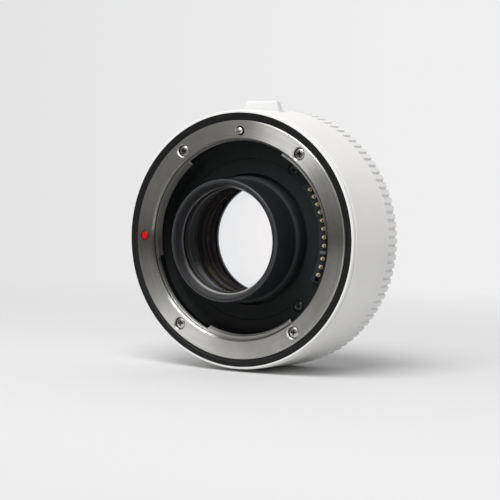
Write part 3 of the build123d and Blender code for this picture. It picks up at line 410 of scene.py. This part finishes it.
def make_ring_steel():
    """Steel faced on a lathe: its highlights spread across the turning marks."""
    material, tree, shader = new_material("mount_steel")
    radius, _, y = place = polar(tree)
    fine = noise(tree, turned_place(tree, place, (9.0, 1.6, 1.0)), 1.4, 3.0, 0.6)
    broad = noise(tree, turned_place(tree, place, (2.4, 2.2, 1.0)), 1.0, 2.0, 0.5)
    cloud = noise(tree, coordinates(tree), 0.11, 2.0, 0.55)
    tint = two_tone(tree, cloud, (0.68, 0.665, 0.637), (0.84, 0.828, 0.805))
    marks = weighted(tree, broad, 0.5, multiply(tree, fine, 0.5))
    streak = two_tone(tree, marks, (0.80, 0.80, 0.80), (1.0, 1.0, 1.0))
    colour = mix_colours(tree, 1.0, tint, streak, "MULTIPLY")

    # The walls of the holes and the throat's wall in front of the tabs are in shade.
    facing = facing_axis(tree)
    upright = below(tree, facing, 0.5)
    hole_wall = multiply(tree, upright, within(tree, radius, ring_hole_radii))
    colour = mix_colours(tree, hole_wall, colour, (0.07, 0.065, 0.06))
    before_tabs = below(tree, y, at_depth(throat_wall_end_depth))
    at_throat = multiply(tree, upright, within(tree, radius, throat_wall_radii))
    throat_wall = multiply(tree, at_throat, before_tabs)
    colour = mix_colours(tree, throat_wall, colour, (0.20, 0.185, 0.165))

    # Cut edges are rougher than the flat faces, and the throat's chamfer is smoother.
    flat = above(tree, facing, 0.9)
    faces = spread(tree, fine, 0.33, 0.43)
    edges = multiply(tree, subtract(tree, 1.0, flat), spread(tree, fine, 0.38, 0.48))
    sloped = within(tree, facing, (0.6, 0.9))
    chamfer = multiply(tree, sloped, below(tree, radius, throat_chamfer_radius))
    smoothing = weighted(tree, chamfer, -0.34, 1.0)
    roughness = multiply(tree, weighted(tree, flat, faces, edges), smoothing)

    tangent = tree.nodes.new("ShaderNodeTangent")
    tangent.direction_type = "RADIAL"
    tangent.axis = "Y"
    dress(tree, shader, {
        "Base Color": colour, "Metallic": 1.0, "Roughness": roughness,
        "Anisotropic": 0.97, "Anisotropic Rotation": 0.25, "Tangent": tangent.outputs["Tangent"],
    })
    bump(tree, shader, fine, 0.004, 0.35)
    return material


def make_screw_steel(name, recessed):
    """Bright steel; in a recessed screw the bottom of the cross has painted shade."""
    material, tree, shader = new_material(name)
    place = coordinates(tree)
    cloud = noise(tree, place, 2.5, 3.0, 0.6)
    colour = two_tone(tree, cloud, (0.62, 0.59, 0.55), (0.84, 0.82, 0.79))
    if recessed:
        y = parts_of(tree, place)["Y"]
        middle = flange_distance / 2
        from_middle = math_node(tree, "ABSOLUTE", add(tree, y, middle))
        below_face = subtract(tree, middle, from_middle)
        # Painted shade at the bottom of the cross recess.
        cross = fade(tree, below_face, screw_cross_depths)
        colour = mix_colours(tree, cross, colour, (0.09, 0.085, 0.08))
    roughness = spread(tree, cloud, 0.20, 0.32)
    dress(tree, shader, {"Base Color": colour, "Metallic": 1.0, "Roughness": roughness})
    bump(tree, shader, noise(tree, place, 9.0, 2.0), 0.01, 0.3)
    return material


def make_black_screw(node):
    """Blackened steel with painted shade in its cross; the node's box gives the face of the heads.
    """
    material, tree, shader = new_material(f"black_{node}")
    place = coordinates(tree)
    cloud = noise(tree, place, 3.0, 3.0, 0.6)
    low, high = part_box(node)
    middle = 1000 * (low[1] + high[1]) / 2
    half = 1000 * (high[1] - low[1]) / 2
    y = parts_of(tree, place)["Y"]
    from_middle = math_node(tree, "ABSOLUTE", subtract(tree, y, middle))
    # Painted shade at the bottom of the cross recess.
    cross = fade(tree, subtract(tree, half, from_middle), black_screw_cross_depths)
    head = two_tone(tree, cloud, (0.04, 0.050, 0.052), (0.14, 0.160, 0.165))
    dress(tree, shader, {
        "Base Color": mix_colours(tree, cross, head, (0.01, 0.01, 0.01)),
        "Metallic": 1.0, "Roughness": spread(tree, cloud, 0.25, 0.40),
    })
    bump(tree, shader, cloud, 0.01, 0.3)
    return material


def make_spring_steel():
    material, tree, shader = new_material("spring_steel")
    place = coordinates(tree)
    cloud = noise(tree, place, 1.2, 3.0, 0.6)
    dress(tree, shader, {
        "Base Color": two_tone(tree, cloud, (0.42, 0.42, 0.43), (0.56, 0.56, 0.57)),
        "Metallic": 1.0, "Roughness": spread(tree, cloud, 0.22, 0.38),
    })
    bump(tree, shader, noise(tree, place, 6.0, 2.0), 0.01, 0.3)
    return material


def make_chassis_alloy():
    material, tree, shader = new_material("chassis_alloy")
    cloud = noise(tree, coordinates(tree), 0.9, 3.0, 0.6)
    dress(tree, shader, {
        "Base Color": two_tone(tree, cloud, (0.055, 0.056, 0.058), (0.085, 0.086, 0.088)),
        "Metallic": 0.8, "Roughness": spread(tree, cloud, 0.40, 0.55),
    })
    bump(tree, shader, cloud, 0.02, 0.3)
    return material


def make_gold():
    """Gold plate with bright tips; the sides stand in the shade of their holes."""
    material, tree, shader = new_material("gold_plate")
    place = coordinates(tree)
    cloud = noise(tree, place, 2.0, 3.0, 0.6)
    tip = fade(tree, facing_axis(tree), (0.60, 0.92))
    gold = two_tone(tree, cloud, (0.95, 0.84, 0.56), (1.0, 0.93, 0.72))
    dress(tree, shader, {
        "Base Color": mix_colours(tree, tip, (0.22, 0.15, 0.06), gold),
        "Metallic": 0.55, "Roughness": spread(tree, cloud, 0.22, 0.34),
    })
    bump(tree, shader, noise(tree, place, 8.0, 2.0), 0.008, 0.3)
    return material


# Black anodised alloys

def make_black_alloy(name, dark, light, roughness, specular):
    """Black turned alloy; the roughness varies a little with the turning marks."""
    material, tree, shader = new_material(name)
    fine = noise(tree, turned_place(tree, polar(tree), (8.0, 0.8, 8.0)), 1.0, 3.0, 0.6)
    cloud = noise(tree, coordinates(tree), 0.2, 2.0)
    dress(tree, shader, {
        "Base Color": two_tone(tree, cloud, dark, light),
        "Roughness": spread(tree, fine, roughness - 0.05, roughness + 0.08),
        "Specular IOR Level": specular,
    })
    bump(tree, shader, fine, 0.006, 0.35)
    return material


def make_tube_alloy():
    """Black turned tube: a worn, lighter rim, streaks along the neck and a duller shoulder."""
    material, tree, shader = new_material("tube_alloy")
    radius, angle, y = place = polar(tree)
    fine = noise(tree, turned_place(tree, place, (6.0, 1.2, 5.0)), 1.0, 3.0, 0.6)
    around = noise(tree, combine(tree, multiply(tree, angle, 5.0), y, radius), 1.0, 2.0)
    streaks = weighted(tree, fine, 0.6, multiply(tree, around, 0.4))
    body = two_tone(
        tree, streaks, (0.0055, 0.0070, 0.0080), (0.0140, 0.0165, 0.0180), ends=(0.35, 0.65))
    rim = two_tone(tree, fine, (0.022, 0.0235, 0.0255), (0.042, 0.044, 0.047))
    worn = fade(tree, y, [at_depth(depth) for depth in tube_rim_depths])
    shoulder = above(tree, y, at_depth(tube_shoulder_depth))
    dress(tree, shader, {
        "Base Color": mix_colours(tree, worn, body, rim),
        "Roughness": weighted(tree, shoulder, 0.30, spread(tree, fine, 0.34, 0.48)),
        "Specular IOR Level": 0.42,
    })
    bump(tree, shader, fine, 0.008, 0.4)
    return material


def make_bevel_painted_highlight_alloy():
    """Black turned bevel with painted light: paler on its lower side, brightest at its inner edge.
    """
    material, tree, shader = new_material("bevel_painted_highlight_alloy")
    radius, angle, _ = place = polar(tree)
    fine = noise(tree, turned_place(tree, place, (8.0, 0.8, 8.0)), 1.0, 3.0, 0.6)
    # Painted highlight: the cone is paler on its lower side and brightest along its inner edge.
    on_cone = above(tree, facing_axis(tree), 0.2)
    lower_side = fade(tree, math_node(tree, "SINE", angle), (-0.40, -0.90))
    low = multiply(tree, on_cone, lower_side)
    inner = multiply(tree, on_cone, fade(tree, radius, bevel_edge_radii))
    body = two_tone(tree, fine, (0.010, 0.011, 0.013), (0.018, 0.0195, 0.022))
    painted_sheen = two_tone(tree, fine, (0.040, 0.040, 0.042), (0.075, 0.075, 0.078))
    edge = two_tone(tree, fine, (0.32, 0.32, 0.33), (0.44, 0.44, 0.45))
    line = mix_colours(tree, low, (0.030, 0.031, 0.033), edge)
    cone = mix_colours(tree, low, body, painted_sheen)
    dress(tree, shader, {
        "Base Color": mix_colours(tree, inner, cone, line),
        "Roughness": spread(tree, fine, 0.25, 0.38), "Specular IOR Level": 0.55,
    })
    bump(tree, shader, fine, 0.006, 0.35)
    return material


# Paints, plastics, rubber and circuits

def make_white_paint(name, dark, light, gloss, roughness):
    material, tree, shader = new_material(name)
    place = coordinates(tree)
    skin = noise(tree, place, 2.2, 3.0, 0.55)
    cloud = noise(tree, place, 0.06, 2.0)
    dress(tree, shader, {
        "Base Color": two_tone(tree, cloud, dark, light),
        "Roughness": spread(tree, skin, roughness, roughness + 0.12),
        "Specular IOR Level": gloss,
    })
    bump(tree, shader, skin, 0.01, 0.3)
    return material


def make_red_enamel():
    """Red dot, with painted shade towards its rim."""
    material, tree, shader = new_material("red_enamel")
    place = coordinates(tree)
    cloud = noise(tree, place, 1.5, 2.0)
    x, _, z = parts_of(tree, place)
    from_centre = hypotenuse(tree, add(tree, x, index_dot_ring_radius), z)
    red = two_tone(tree, cloud, (0.50, 0.002, 0.003), (0.66, 0.003, 0.004))
    # Painted shade towards the dot's rim.
    rim = fade(tree, from_centre, index_dot_rim_radii)
    dress(tree, shader, {
        "Base Color": mix_colours(tree, rim, red, (0.20, 0.001, 0.002)),
        "Roughness": 0.3, "Specular IOR Level": 0.2,
        "Coat Weight": 0.08, "Coat Roughness": 0.10,
    })
    bump(tree, shader, noise(tree, place, 3.0, 2.0), 0.01, 0.25)
    return material


def make_black_band():
    """Grained black paint of the trim band."""
    material, tree, shader = new_material("black_band")
    place = coordinates(tree)
    grain = noise(tree, place, 3.4, 4.0, 0.65)
    cloud = noise(tree, place, 0.35, 2.0)
    dress(tree, shader, {
        "Base Color": two_tone(tree, cloud, (0.0055, 0.0055, 0.0055), (0.0095, 0.0095, 0.0100)),
        "Roughness": spread(tree, grain, 0.42, 0.62), "Specular IOR Level": 0.28,
    })
    bump(tree, shader, grain, 0.03, 0.55)
    return material


def make_black_plastic():
    """Black moulding with painted light: paler towards +X and +Z."""
    material, tree, shader = new_material("black_moulding")
    place = coordinates(tree)
    grain = noise(tree, place, 5.0, 3.0, 0.6)
    cloud = noise(tree, place, 0.25, 2.0)
    x, _, z = parts_of(tree, place)
    # Painted light: the moulding is paler towards +X and +Z.
    side = spread(tree, weighted(tree, z, 0.8, x), 0.0, 0.7, (-10.0, 28.0))
    mottled_and_lit = weighted(tree, cloud, 0.3, side)
    colour = two_tone(
        tree, mottled_and_lit, (0.0026, 0.0034, 0.0038), (0.0170, 0.0220, 0.0230), ends=(0.1, 0.9))
    dress(tree, shader, {
        "Base Color": colour,
        "Roughness": spread(tree, grain, 0.44, 0.58), "Specular IOR Level": 0.26,
    })
    bump(tree, shader, grain, 0.012, 0.3)
    return material


def make_contact_block():
    """Black moulding; painted reflection on the key rib, painted shade outside the row of pins."""
    material, tree, shader = new_material("contact_block")
    place = coordinates(tree)
    radius, angle, y = polar(tree)
    grain = noise(tree, place, 5.0, 3.0, 0.6)
    # Painted reflection: the raised key rib is coloured grey.
    from_rib = math_node(tree, "ABSOLUTE", subtract(tree, angle, key_rib_angle))
    beside_rib = below(tree, from_rib, key_rib_half_angle)
    raised = below(tree, y, at_depth(key_rib_end_depth))
    rib = multiply(tree, beside_rib, raised)
    cloud = noise(tree, place, 0.4, 2.0)
    body = two_tone(tree, cloud, (0.0130, 0.0185, 0.0190), (0.0190, 0.0250, 0.0260))
    # Painted shade in the gap outside the row of pins.
    body = mix_colours(tree, fade(tree, radius, contact_gap_radii), body, (0.002, 0.002, 0.002))
    dress(tree, shader, {
        "Base Color": mix_colours(tree, rib, body, (0.105, 0.10, 0.125)),
        "Roughness": spread(tree, grain, 0.40, 0.55),
    })
    bump(tree, shader, grain, 0.012, 0.3)
    return material


def make_board():
    """Green board with a pattern of paler tracks."""
    material, tree, shader = new_material("circuit_board")
    tracks = tree.nodes.new("ShaderNodeTexBrick")
    dress(tree, tracks, {
        "Scale": 0.5, "Mortar Size": 0.04, "Color1": (0.012, 0.10, 0.04),
        "Color2": (0.016, 0.12, 0.05), "Mortar": (0.05, 0.22, 0.10), "Vector": coordinates(tree),
    })
    dress(tree, shader, {"Base Color": tracks.outputs["Color"], "Roughness": 0.3})
    bump(tree, shader, tracks.outputs["Fac"], 0.02, 0.4)
    return material


def make_film():
    material, tree, shader = new_material("amber_film")
    place = coordinates(tree)
    cloud = noise(tree, place, 0.6, 2.0)
    colour = two_tone(tree, cloud, (0.34, 0.13, 0.015), (0.46, 0.20, 0.03))
    dress(tree, shader, {"Base Color": colour, "Roughness": 0.28})
    bump(tree, shader, noise(tree, place, 2.0, 2.0), 0.01, 0.3)
    return material


def make_rubber():
    material, tree, shader = new_material("seal_rubber")
    grain = noise(tree, coordinates(tree), 3.0, 3.0, 0.6)
    dress(tree, shader, {
        "Base Color": two_tone(tree, grain, (0.022, 0.022, 0.022), (0.034, 0.034, 0.034)),
        "Roughness": spread(tree, grain, 0.60, 0.75),
    })
    bump(tree, shader, grain, 0.02, 0.35)
    return material


# Glass and what lies inside it

def make_glass():
    """Clear glass with a thin film against reflections; the film's thickness is in nanometres."""
    material, tree, shader = new_material("coated_glass_clear")
    cloud = noise(tree, coordinates(tree), 0.05, 1.0)
    dress(tree, shader, {
        "Base Color": two_tone(tree, cloud, (0.996, 0.998, 0.996), (1.0, 1.0, 1.0)),
        "Transmission Weight": 1.0, "Roughness": 0.0, "IOR": 1.72,
        "Thin Film Thickness": 120.0, "Thin Film IOR": 1.31,
    })
    return material


def make_edge_black():
    material, tree, shader = new_material("edge_black")
    cloud = noise(tree, coordinates(tree), 1.0, 2.0)
    dress(tree, shader, {
        "Base Color": two_tone(tree, cloud, (0.004, 0.0045, 0.005), (0.008, 0.0085, 0.009)),
        "Roughness": 0.9, "Specular IOR Level": 0.0,
    })
    return material


def glow_stops(side):
    """Ramp along the optical axis for the sides and top of the bore (0) or its lower side (1)."""
    whole = flange_distance - lens_edge_start_depth
    stops = []
    for depths, tint, levels in edge_glows:
        colour = tuple(levels[side] * part for part in tint)
        stops += [((depth - lens_edge_start_depth) / whole, colour) for depth in depths]
    return stops


def make_lens_edge():
    """Blackened edge inside the glass, in bands.

    A faint glow stands for the light that the render doesn't carry through the glass to it.
    """
    material, tree, shader = new_material("lens_edge")
    _, angle, y = polar(tree)
    along = fade(tree, y, (at_depth(lens_edge_start_depth), 0.0))
    lines = noise(tree, combine(tree, 0.0, 0.0, multiply(tree, y, 3.0)), 1.0, 2.0, 0.6)
    lower_side = fade(tree, math_node(tree, "SINE", angle), (-0.42, -0.82))
    bands = mix_colours(
        tree, lower_side, ramp(tree, along, glow_stops(0)), ramp(tree, along, glow_stops(1)))
    glow = mix_colours(tree, spread(tree, lines, 0.65, 1.0), (0.0, 0.0, 0.0), bands)
    dress(tree, shader, {
        "Base Color": two_tone(tree, lines, (0.012, 0.012, 0.013), (0.022, 0.022, 0.022)),
        "Roughness": 0.9, "Specular IOR Level": 0.0,
        "Emission Color": glow, "Emission Strength": 1.0,
    })
    return material


ring_steel = make_ring_steel()
screw_steel = make_screw_steel("screw_steel", recessed=True)
pin_steel = make_screw_steel("pin_steel", recessed=False)
spring_steel = make_spring_steel()
red_enamel = make_red_enamel()
black_band = make_black_band()
black_plastic = make_black_plastic()
contact_block = make_contact_block()
white_paint = make_white_paint(
    "white_paint", (0.775, 0.768, 0.745), (0.815, 0.808, 0.79), gloss=0.45, roughness=0.36)
# Painted shade: the lever gets a darker copy of the white paint, as its front faces the overhead
# lamp.
shaded_lever_paint = make_white_paint(
    "shaded_lever_paint", (0.72, 0.716, 0.70), (0.76, 0.756, 0.745), gloss=0.3, roughness=0.45)
tube_alloy = make_tube_alloy()
groove_alloy = make_black_alloy(
    "groove_alloy", (0.0025, 0.0028, 0.003), (0.005, 0.0055, 0.006), roughness=0.42, specular=0.22)
bevel_painted_highlight_alloy = make_bevel_painted_highlight_alloy()
bevel_alloy = make_black_alloy(
    "bevel_alloy", (0.010, 0.011, 0.013), (0.016, 0.0175, 0.020), roughness=0.30, specular=0.55)
chassis_alloy = make_chassis_alloy()
front_screw = make_black_screw("front_contact_screws")
rear_screw = make_black_screw("camera_contact_screws")
gold_plate = make_gold()
board_green = make_board()
amber_film = make_film()
seal_rubber = make_rubber()
edge_black = make_edge_black()
lens_edge = make_lens_edge()
clear_glass = make_glass()


# The CAD nodes that are seen themselves, each with its material

finishes = {
    "lens_mount_ring": ring_steel, "camera_mount_ring": ring_steel,
    "lens_mount_screws": screw_steel, "camera_mount_screws": screw_steel,
    "web_screws": pin_steel, "lock_pin": pin_steel,
    "lens_index_dot": red_enamel, "camera_index_dot": red_enamel,
    "mount_shim": spring_steel, "bayonet_springs": spring_steel, "lock_spring": spring_steel,
    "lever_carriage": spring_steel,
    "lens_trim_ring": black_band,
    "cavity_baffle": black_plastic, "camera_contact_block": black_plastic,
    "camera_baffle": black_plastic,
    "front_contact_block": contact_block,
    "front_rim_ring": white_paint, "main_barrel": white_paint, "release_lever": shaded_lever_paint,
    "chassis": chassis_alloy,
    "front_contact_screws": front_screw, "camera_contact_screws": rear_screw,
    "optical_tube": tube_alloy, "front_bevel_ring": bevel_painted_highlight_alloy,
    "front_retaining_ring": groove_alloy, "rear_retaining_ring": bevel_alloy,
    "lens_spacer_front": lens_edge, "lens_spacer_rear": lens_edge,
    "circuit_board": board_green, "front_flex_cable": amber_film, "rear_flex_cable": amber_film,
    "camera_contact_pads": gold_plate, "weather_seal": seal_rubber,
}
for number in range(1, 12):
    finishes[f"contact_pin_{number:02d}"] = gold_plate
    finishes[f"contact_spring_{number:02d}"] = spring_steel

for name, finish in finishes.items():
    piece = nodes[name]
    if not piece.material_slots:
        piece.data.materials.append(finish)
    for slot in piece.material_slots:
        slot.material = finish


# Glass: each group as a ground lens with spherical faces and a blackened edge

def sphere_face(radius, bulge, rim_depth, outward):
    """(radius, depth) points from the axis to the rim; outward is -1 towards the lens side."""
    sphere = (radius ** 2 + bulge ** 2) / (2 * abs(bulge))
    points = []
    for index in range(lens_face_steps + 1):
        place = radius * index / lens_face_steps
        drop = sphere - sqrt(sphere ** 2 - place ** 2)
        stand = abs(bulge) - drop
        if bulge < 0:
            stand = -stand
        points.append((place, rim_depth + outward * stand))
    return points


def lens_piece(name, node, radius, depths, bulges):
    front = sphere_face(radius, bulges[0], depths[0], -1)
    back = sphere_face(radius, bulges[1], depths[1], 1)
    profile = front + back[::-1]
    slots = [0] * (len(profile) - 1)
    slots[len(front) - 1] = 1
    piece = lathe(name, profile, [clear_glass, lens_edge], slots, closed=False)
    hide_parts(node)
    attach(piece, root_body)


for name, node, radius, depths, bulges in lenses:
    lens_piece(name, node, radius, depths, bulges)


# Light trap behind the bevel

def thread_ring(name, depths, radii, pitch):
    """Ring with fine threads on its inner side."""
    front, back = depths
    outer, inner = radii
    count = round((back - front) / pitch)
    profile = [(outer, back), (outer, front)]
    for index in range(count):
        base = front + index * (back - front) / count
        profile.append((outer - light_trap_gap, base + light_trap_gap))
        profile.append((inner, base + pitch * 0.5))
    profile.append((outer - light_trap_gap, back - light_trap_gap / 2))
    piece = lathe(name, profile, [edge_black])
    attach(piece, root_body)


thread_ring("front_light_trap", light_trap_depths, light_trap_radii, light_trap_pitch)


# Springs that deform: each is shown by a copy of its mesh in place of its CAD node

def flexing_spring(node):
    """Copy of a spring's mesh in place of its CAD node, with its transform baked into the mesh."""
    piece = bpy.data.objects.new(f"{node}_flexing", nodes[node].data.copy())
    bpy.context.scene.collection.objects.link(piece)
    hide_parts(node)
    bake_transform(piece)


for joint in frame["record"]["behaviour"]["joints"]:
    for spring in joint.get("deforming_nodes", []):
        flexing_spring(spring["node"])


# Stage: a round floor that fades into a plain pale surround

def seen_rays(tree):
    """1 for a ray that comes straight, or by gloss or glass, from the camera."""
    path = tree.nodes.new("ShaderNodeLightPath").outputs
    first = math_node(tree, "MAXIMUM", path["Is Camera Ray"], path["Is Glossy Ray"])
    return math_node(tree, "MAXIMUM", first, path["Is Transmission Ray"])


def backdrop_colour(tree, x, y, ends):
    """The surround from its left to its right side, across the photograph's view."""
    across = weighted(tree, y, view_right[1], multiply(tree, x, view_right[0]))
    return mix_colours(tree, fade(tree, across, ends), surround_left, surround_right)


def mix_shaders(tree, factor, first, second):
    node = tree.nodes.new("ShaderNodeMixShader")
    tree.links.new(factor, node.inputs["Fac"])
    tree.links.new(first, node.inputs[1])
    tree.links.new(second, node.inputs[2])
    return node.outputs["Shader"]


def make_stage_material():
    """Floor that catches shadows near the part and glows as the surround does farther out.

    In gloss, its front left is as dim as the room on that side.
    """
    material = bpy.data.materials.new("studio_floor")
    material.use_nodes = True
    tree = material.node_tree
    tree.nodes.clear()
    output = tree.nodes.new("ShaderNodeOutputMaterial")
    x, y, _ = parts_of(tree, coordinates(tree, 1.0))
    path = tree.nodes.new("ShaderNodeLightPath").outputs
    through_glass = path["Is Transmission Ray"]

    diffuse = tree.nodes.new("ShaderNodeBsdfDiffuse")
    diffuse.inputs["Color"].default_value = (*floor_colour, 1.0)
    glow = tree.nodes.new("ShaderNodeEmission")
    backdrop = backdrop_colour(tree, x, y, floor_backdrop_ends)
    feed(tree, glow.inputs["Color"], mix_colours(tree, through_glass, backdrop, window_light))
    far = multiply(tree, fade(tree, hypotenuse(tree, x, y), floor_fade_radii), seen_rays(tree))
    plain = math_node(tree, "MAXIMUM", far, through_glass)
    floor = mix_shaders(tree, plain, diffuse.outputs["BSDF"], glow.outputs["Emission"])

    shade = tree.nodes.new("ShaderNodeEmission")
    shade.inputs["Color"].default_value = (*room_dark, 1.0)
    front = multiply(tree, fade(tree, y, floor_dim_y), path["Is Glossy Ray"])
    front = multiply(tree, fade(tree, x, floor_dim_x), front)
    front = multiply(tree, subtract(tree, 1.0, through_glass), front)
    whole = mix_shaders(tree, front, floor, shade.outputs["Emission"])
    tree.links.new(whole, output.inputs["Surface"])
    return material


def make_stage():
    turns = [2 * pi * step / floor_steps for step in range(floor_steps)]
    rim = [(floor_radius * cos(turn), floor_radius * sin(turn), floor_height) for turn in turns]
    vertices = [(0, 0, floor_height)] + rim
    faces = [(0, 1 + step, 1 + (step + 1) % floor_steps) for step in range(floor_steps)]
    mesh_piece("studio_floor", vertices, faces, [make_stage_material()])


def make_world():
    """Pale surround behind the part, and a dim room with a panel overhead on its front side.

    Rays of the camera and of the window see the plain surround; the rest of the light comes
    mostly from the left.
    """
    world = bpy.data.worlds.new("studio")
    bpy.context.scene.world = world
    world.use_nodes = True
    tree = world.node_tree
    tree.nodes.clear()
    output = tree.nodes.new("ShaderNodeOutputWorld")
    background = tree.nodes.new("ShaderNodeBackground")
    source = tree.nodes.new("ShaderNodeTexCoord")
    x, y, z = parts_of(tree, source.outputs["Generated"])
    path = tree.nodes.new("ShaderNodeLightPath").outputs

    lift = weighted(tree, y, overhead_front[0], multiply(tree, z, overhead_front[1]))
    front = mix_colours(tree, fade(tree, lift, overhead_ends), room_dark, overhead_panel)
    behind = fade(tree, add(tree, y, multiply(tree, x, behind_tilt)), behind_ends)
    room = mix_colours(tree, behind, front, surround)
    backdrop = backdrop_colour(tree, x, y, backdrop_ends)
    seen = mix_colours(tree, path["Is Camera Ray"], room, backdrop)
    seen = mix_colours(tree, path["Is Transmission Ray"], seen, window_light)
    ambient = mix_colours(tree, fade(tree, x, ambient_ends), ambient_left, ambient_right)
    lit = mix_colours(tree, seen_rays(tree), ambient, seen)
    tree.links.new(lit, background.inputs["Color"])
    tree.links.new(background.outputs["Background"], output.inputs["Surface"])


def make_lamp(name, place, size, power):
    light = bpy.data.lights.new(name, "AREA")
    light.shape = "RECTANGLE"
    light.size, light.size_y = size
    light.energy = power
    lamp = bpy.data.objects.new(name, light)
    bpy.context.scene.collection.objects.link(lamp)
    lamp.location = place
    lamp.rotation_mode = "QUATERNION"
    lamp.rotation_quaternion = (Vector(lamp_target) - Vector(place)).to_track_quat("-Z", "Y")


def make_camera():
    data = bpy.data.cameras.new("camera")
    data.sensor_width = camera_sensor_width
    data.lens = camera_focal_length
    data.shift_x = photo_shift[0] / photo_width
    data.shift_y = photo_shift[1] / photo_width
    data.clip_start = 0.01
    data.clip_end = 20.0
    camera = bpy.data.objects.new("camera", data)
    bpy.context.scene.collection.objects.link(camera)
    flat = cos(camera_elevation)
    back = Vector((
        sin(camera_azimuth) * flat, -cos(camera_azimuth) * flat, sin(camera_elevation)))
    level = Vector((cos(camera_azimuth), sin(camera_azimuth), 0))
    upright = back.cross(level)
    right = level * cos(camera_roll) - upright * sin(camera_roll)
    up = level * sin(camera_roll) + upright * cos(camera_roll)
    place = Vector((0, -flange_distance / 1000, 0)) + back * camera_distance
    camera.matrix_world = Matrix((
        (right.x, up.x, back.x, place.x),
        (right.y, up.y, back.y, place.y),
        (right.z, up.z, back.z, place.z),
        (0, 0, 0, 1),
    ))
    bpy.context.scene.camera = camera


make_stage()
make_world()
for name, place, size, power in lamps:
    make_lamp(name, place, size, power)
make_camera()
bpy.context.scene.view_settings.view_transform = "Standard"
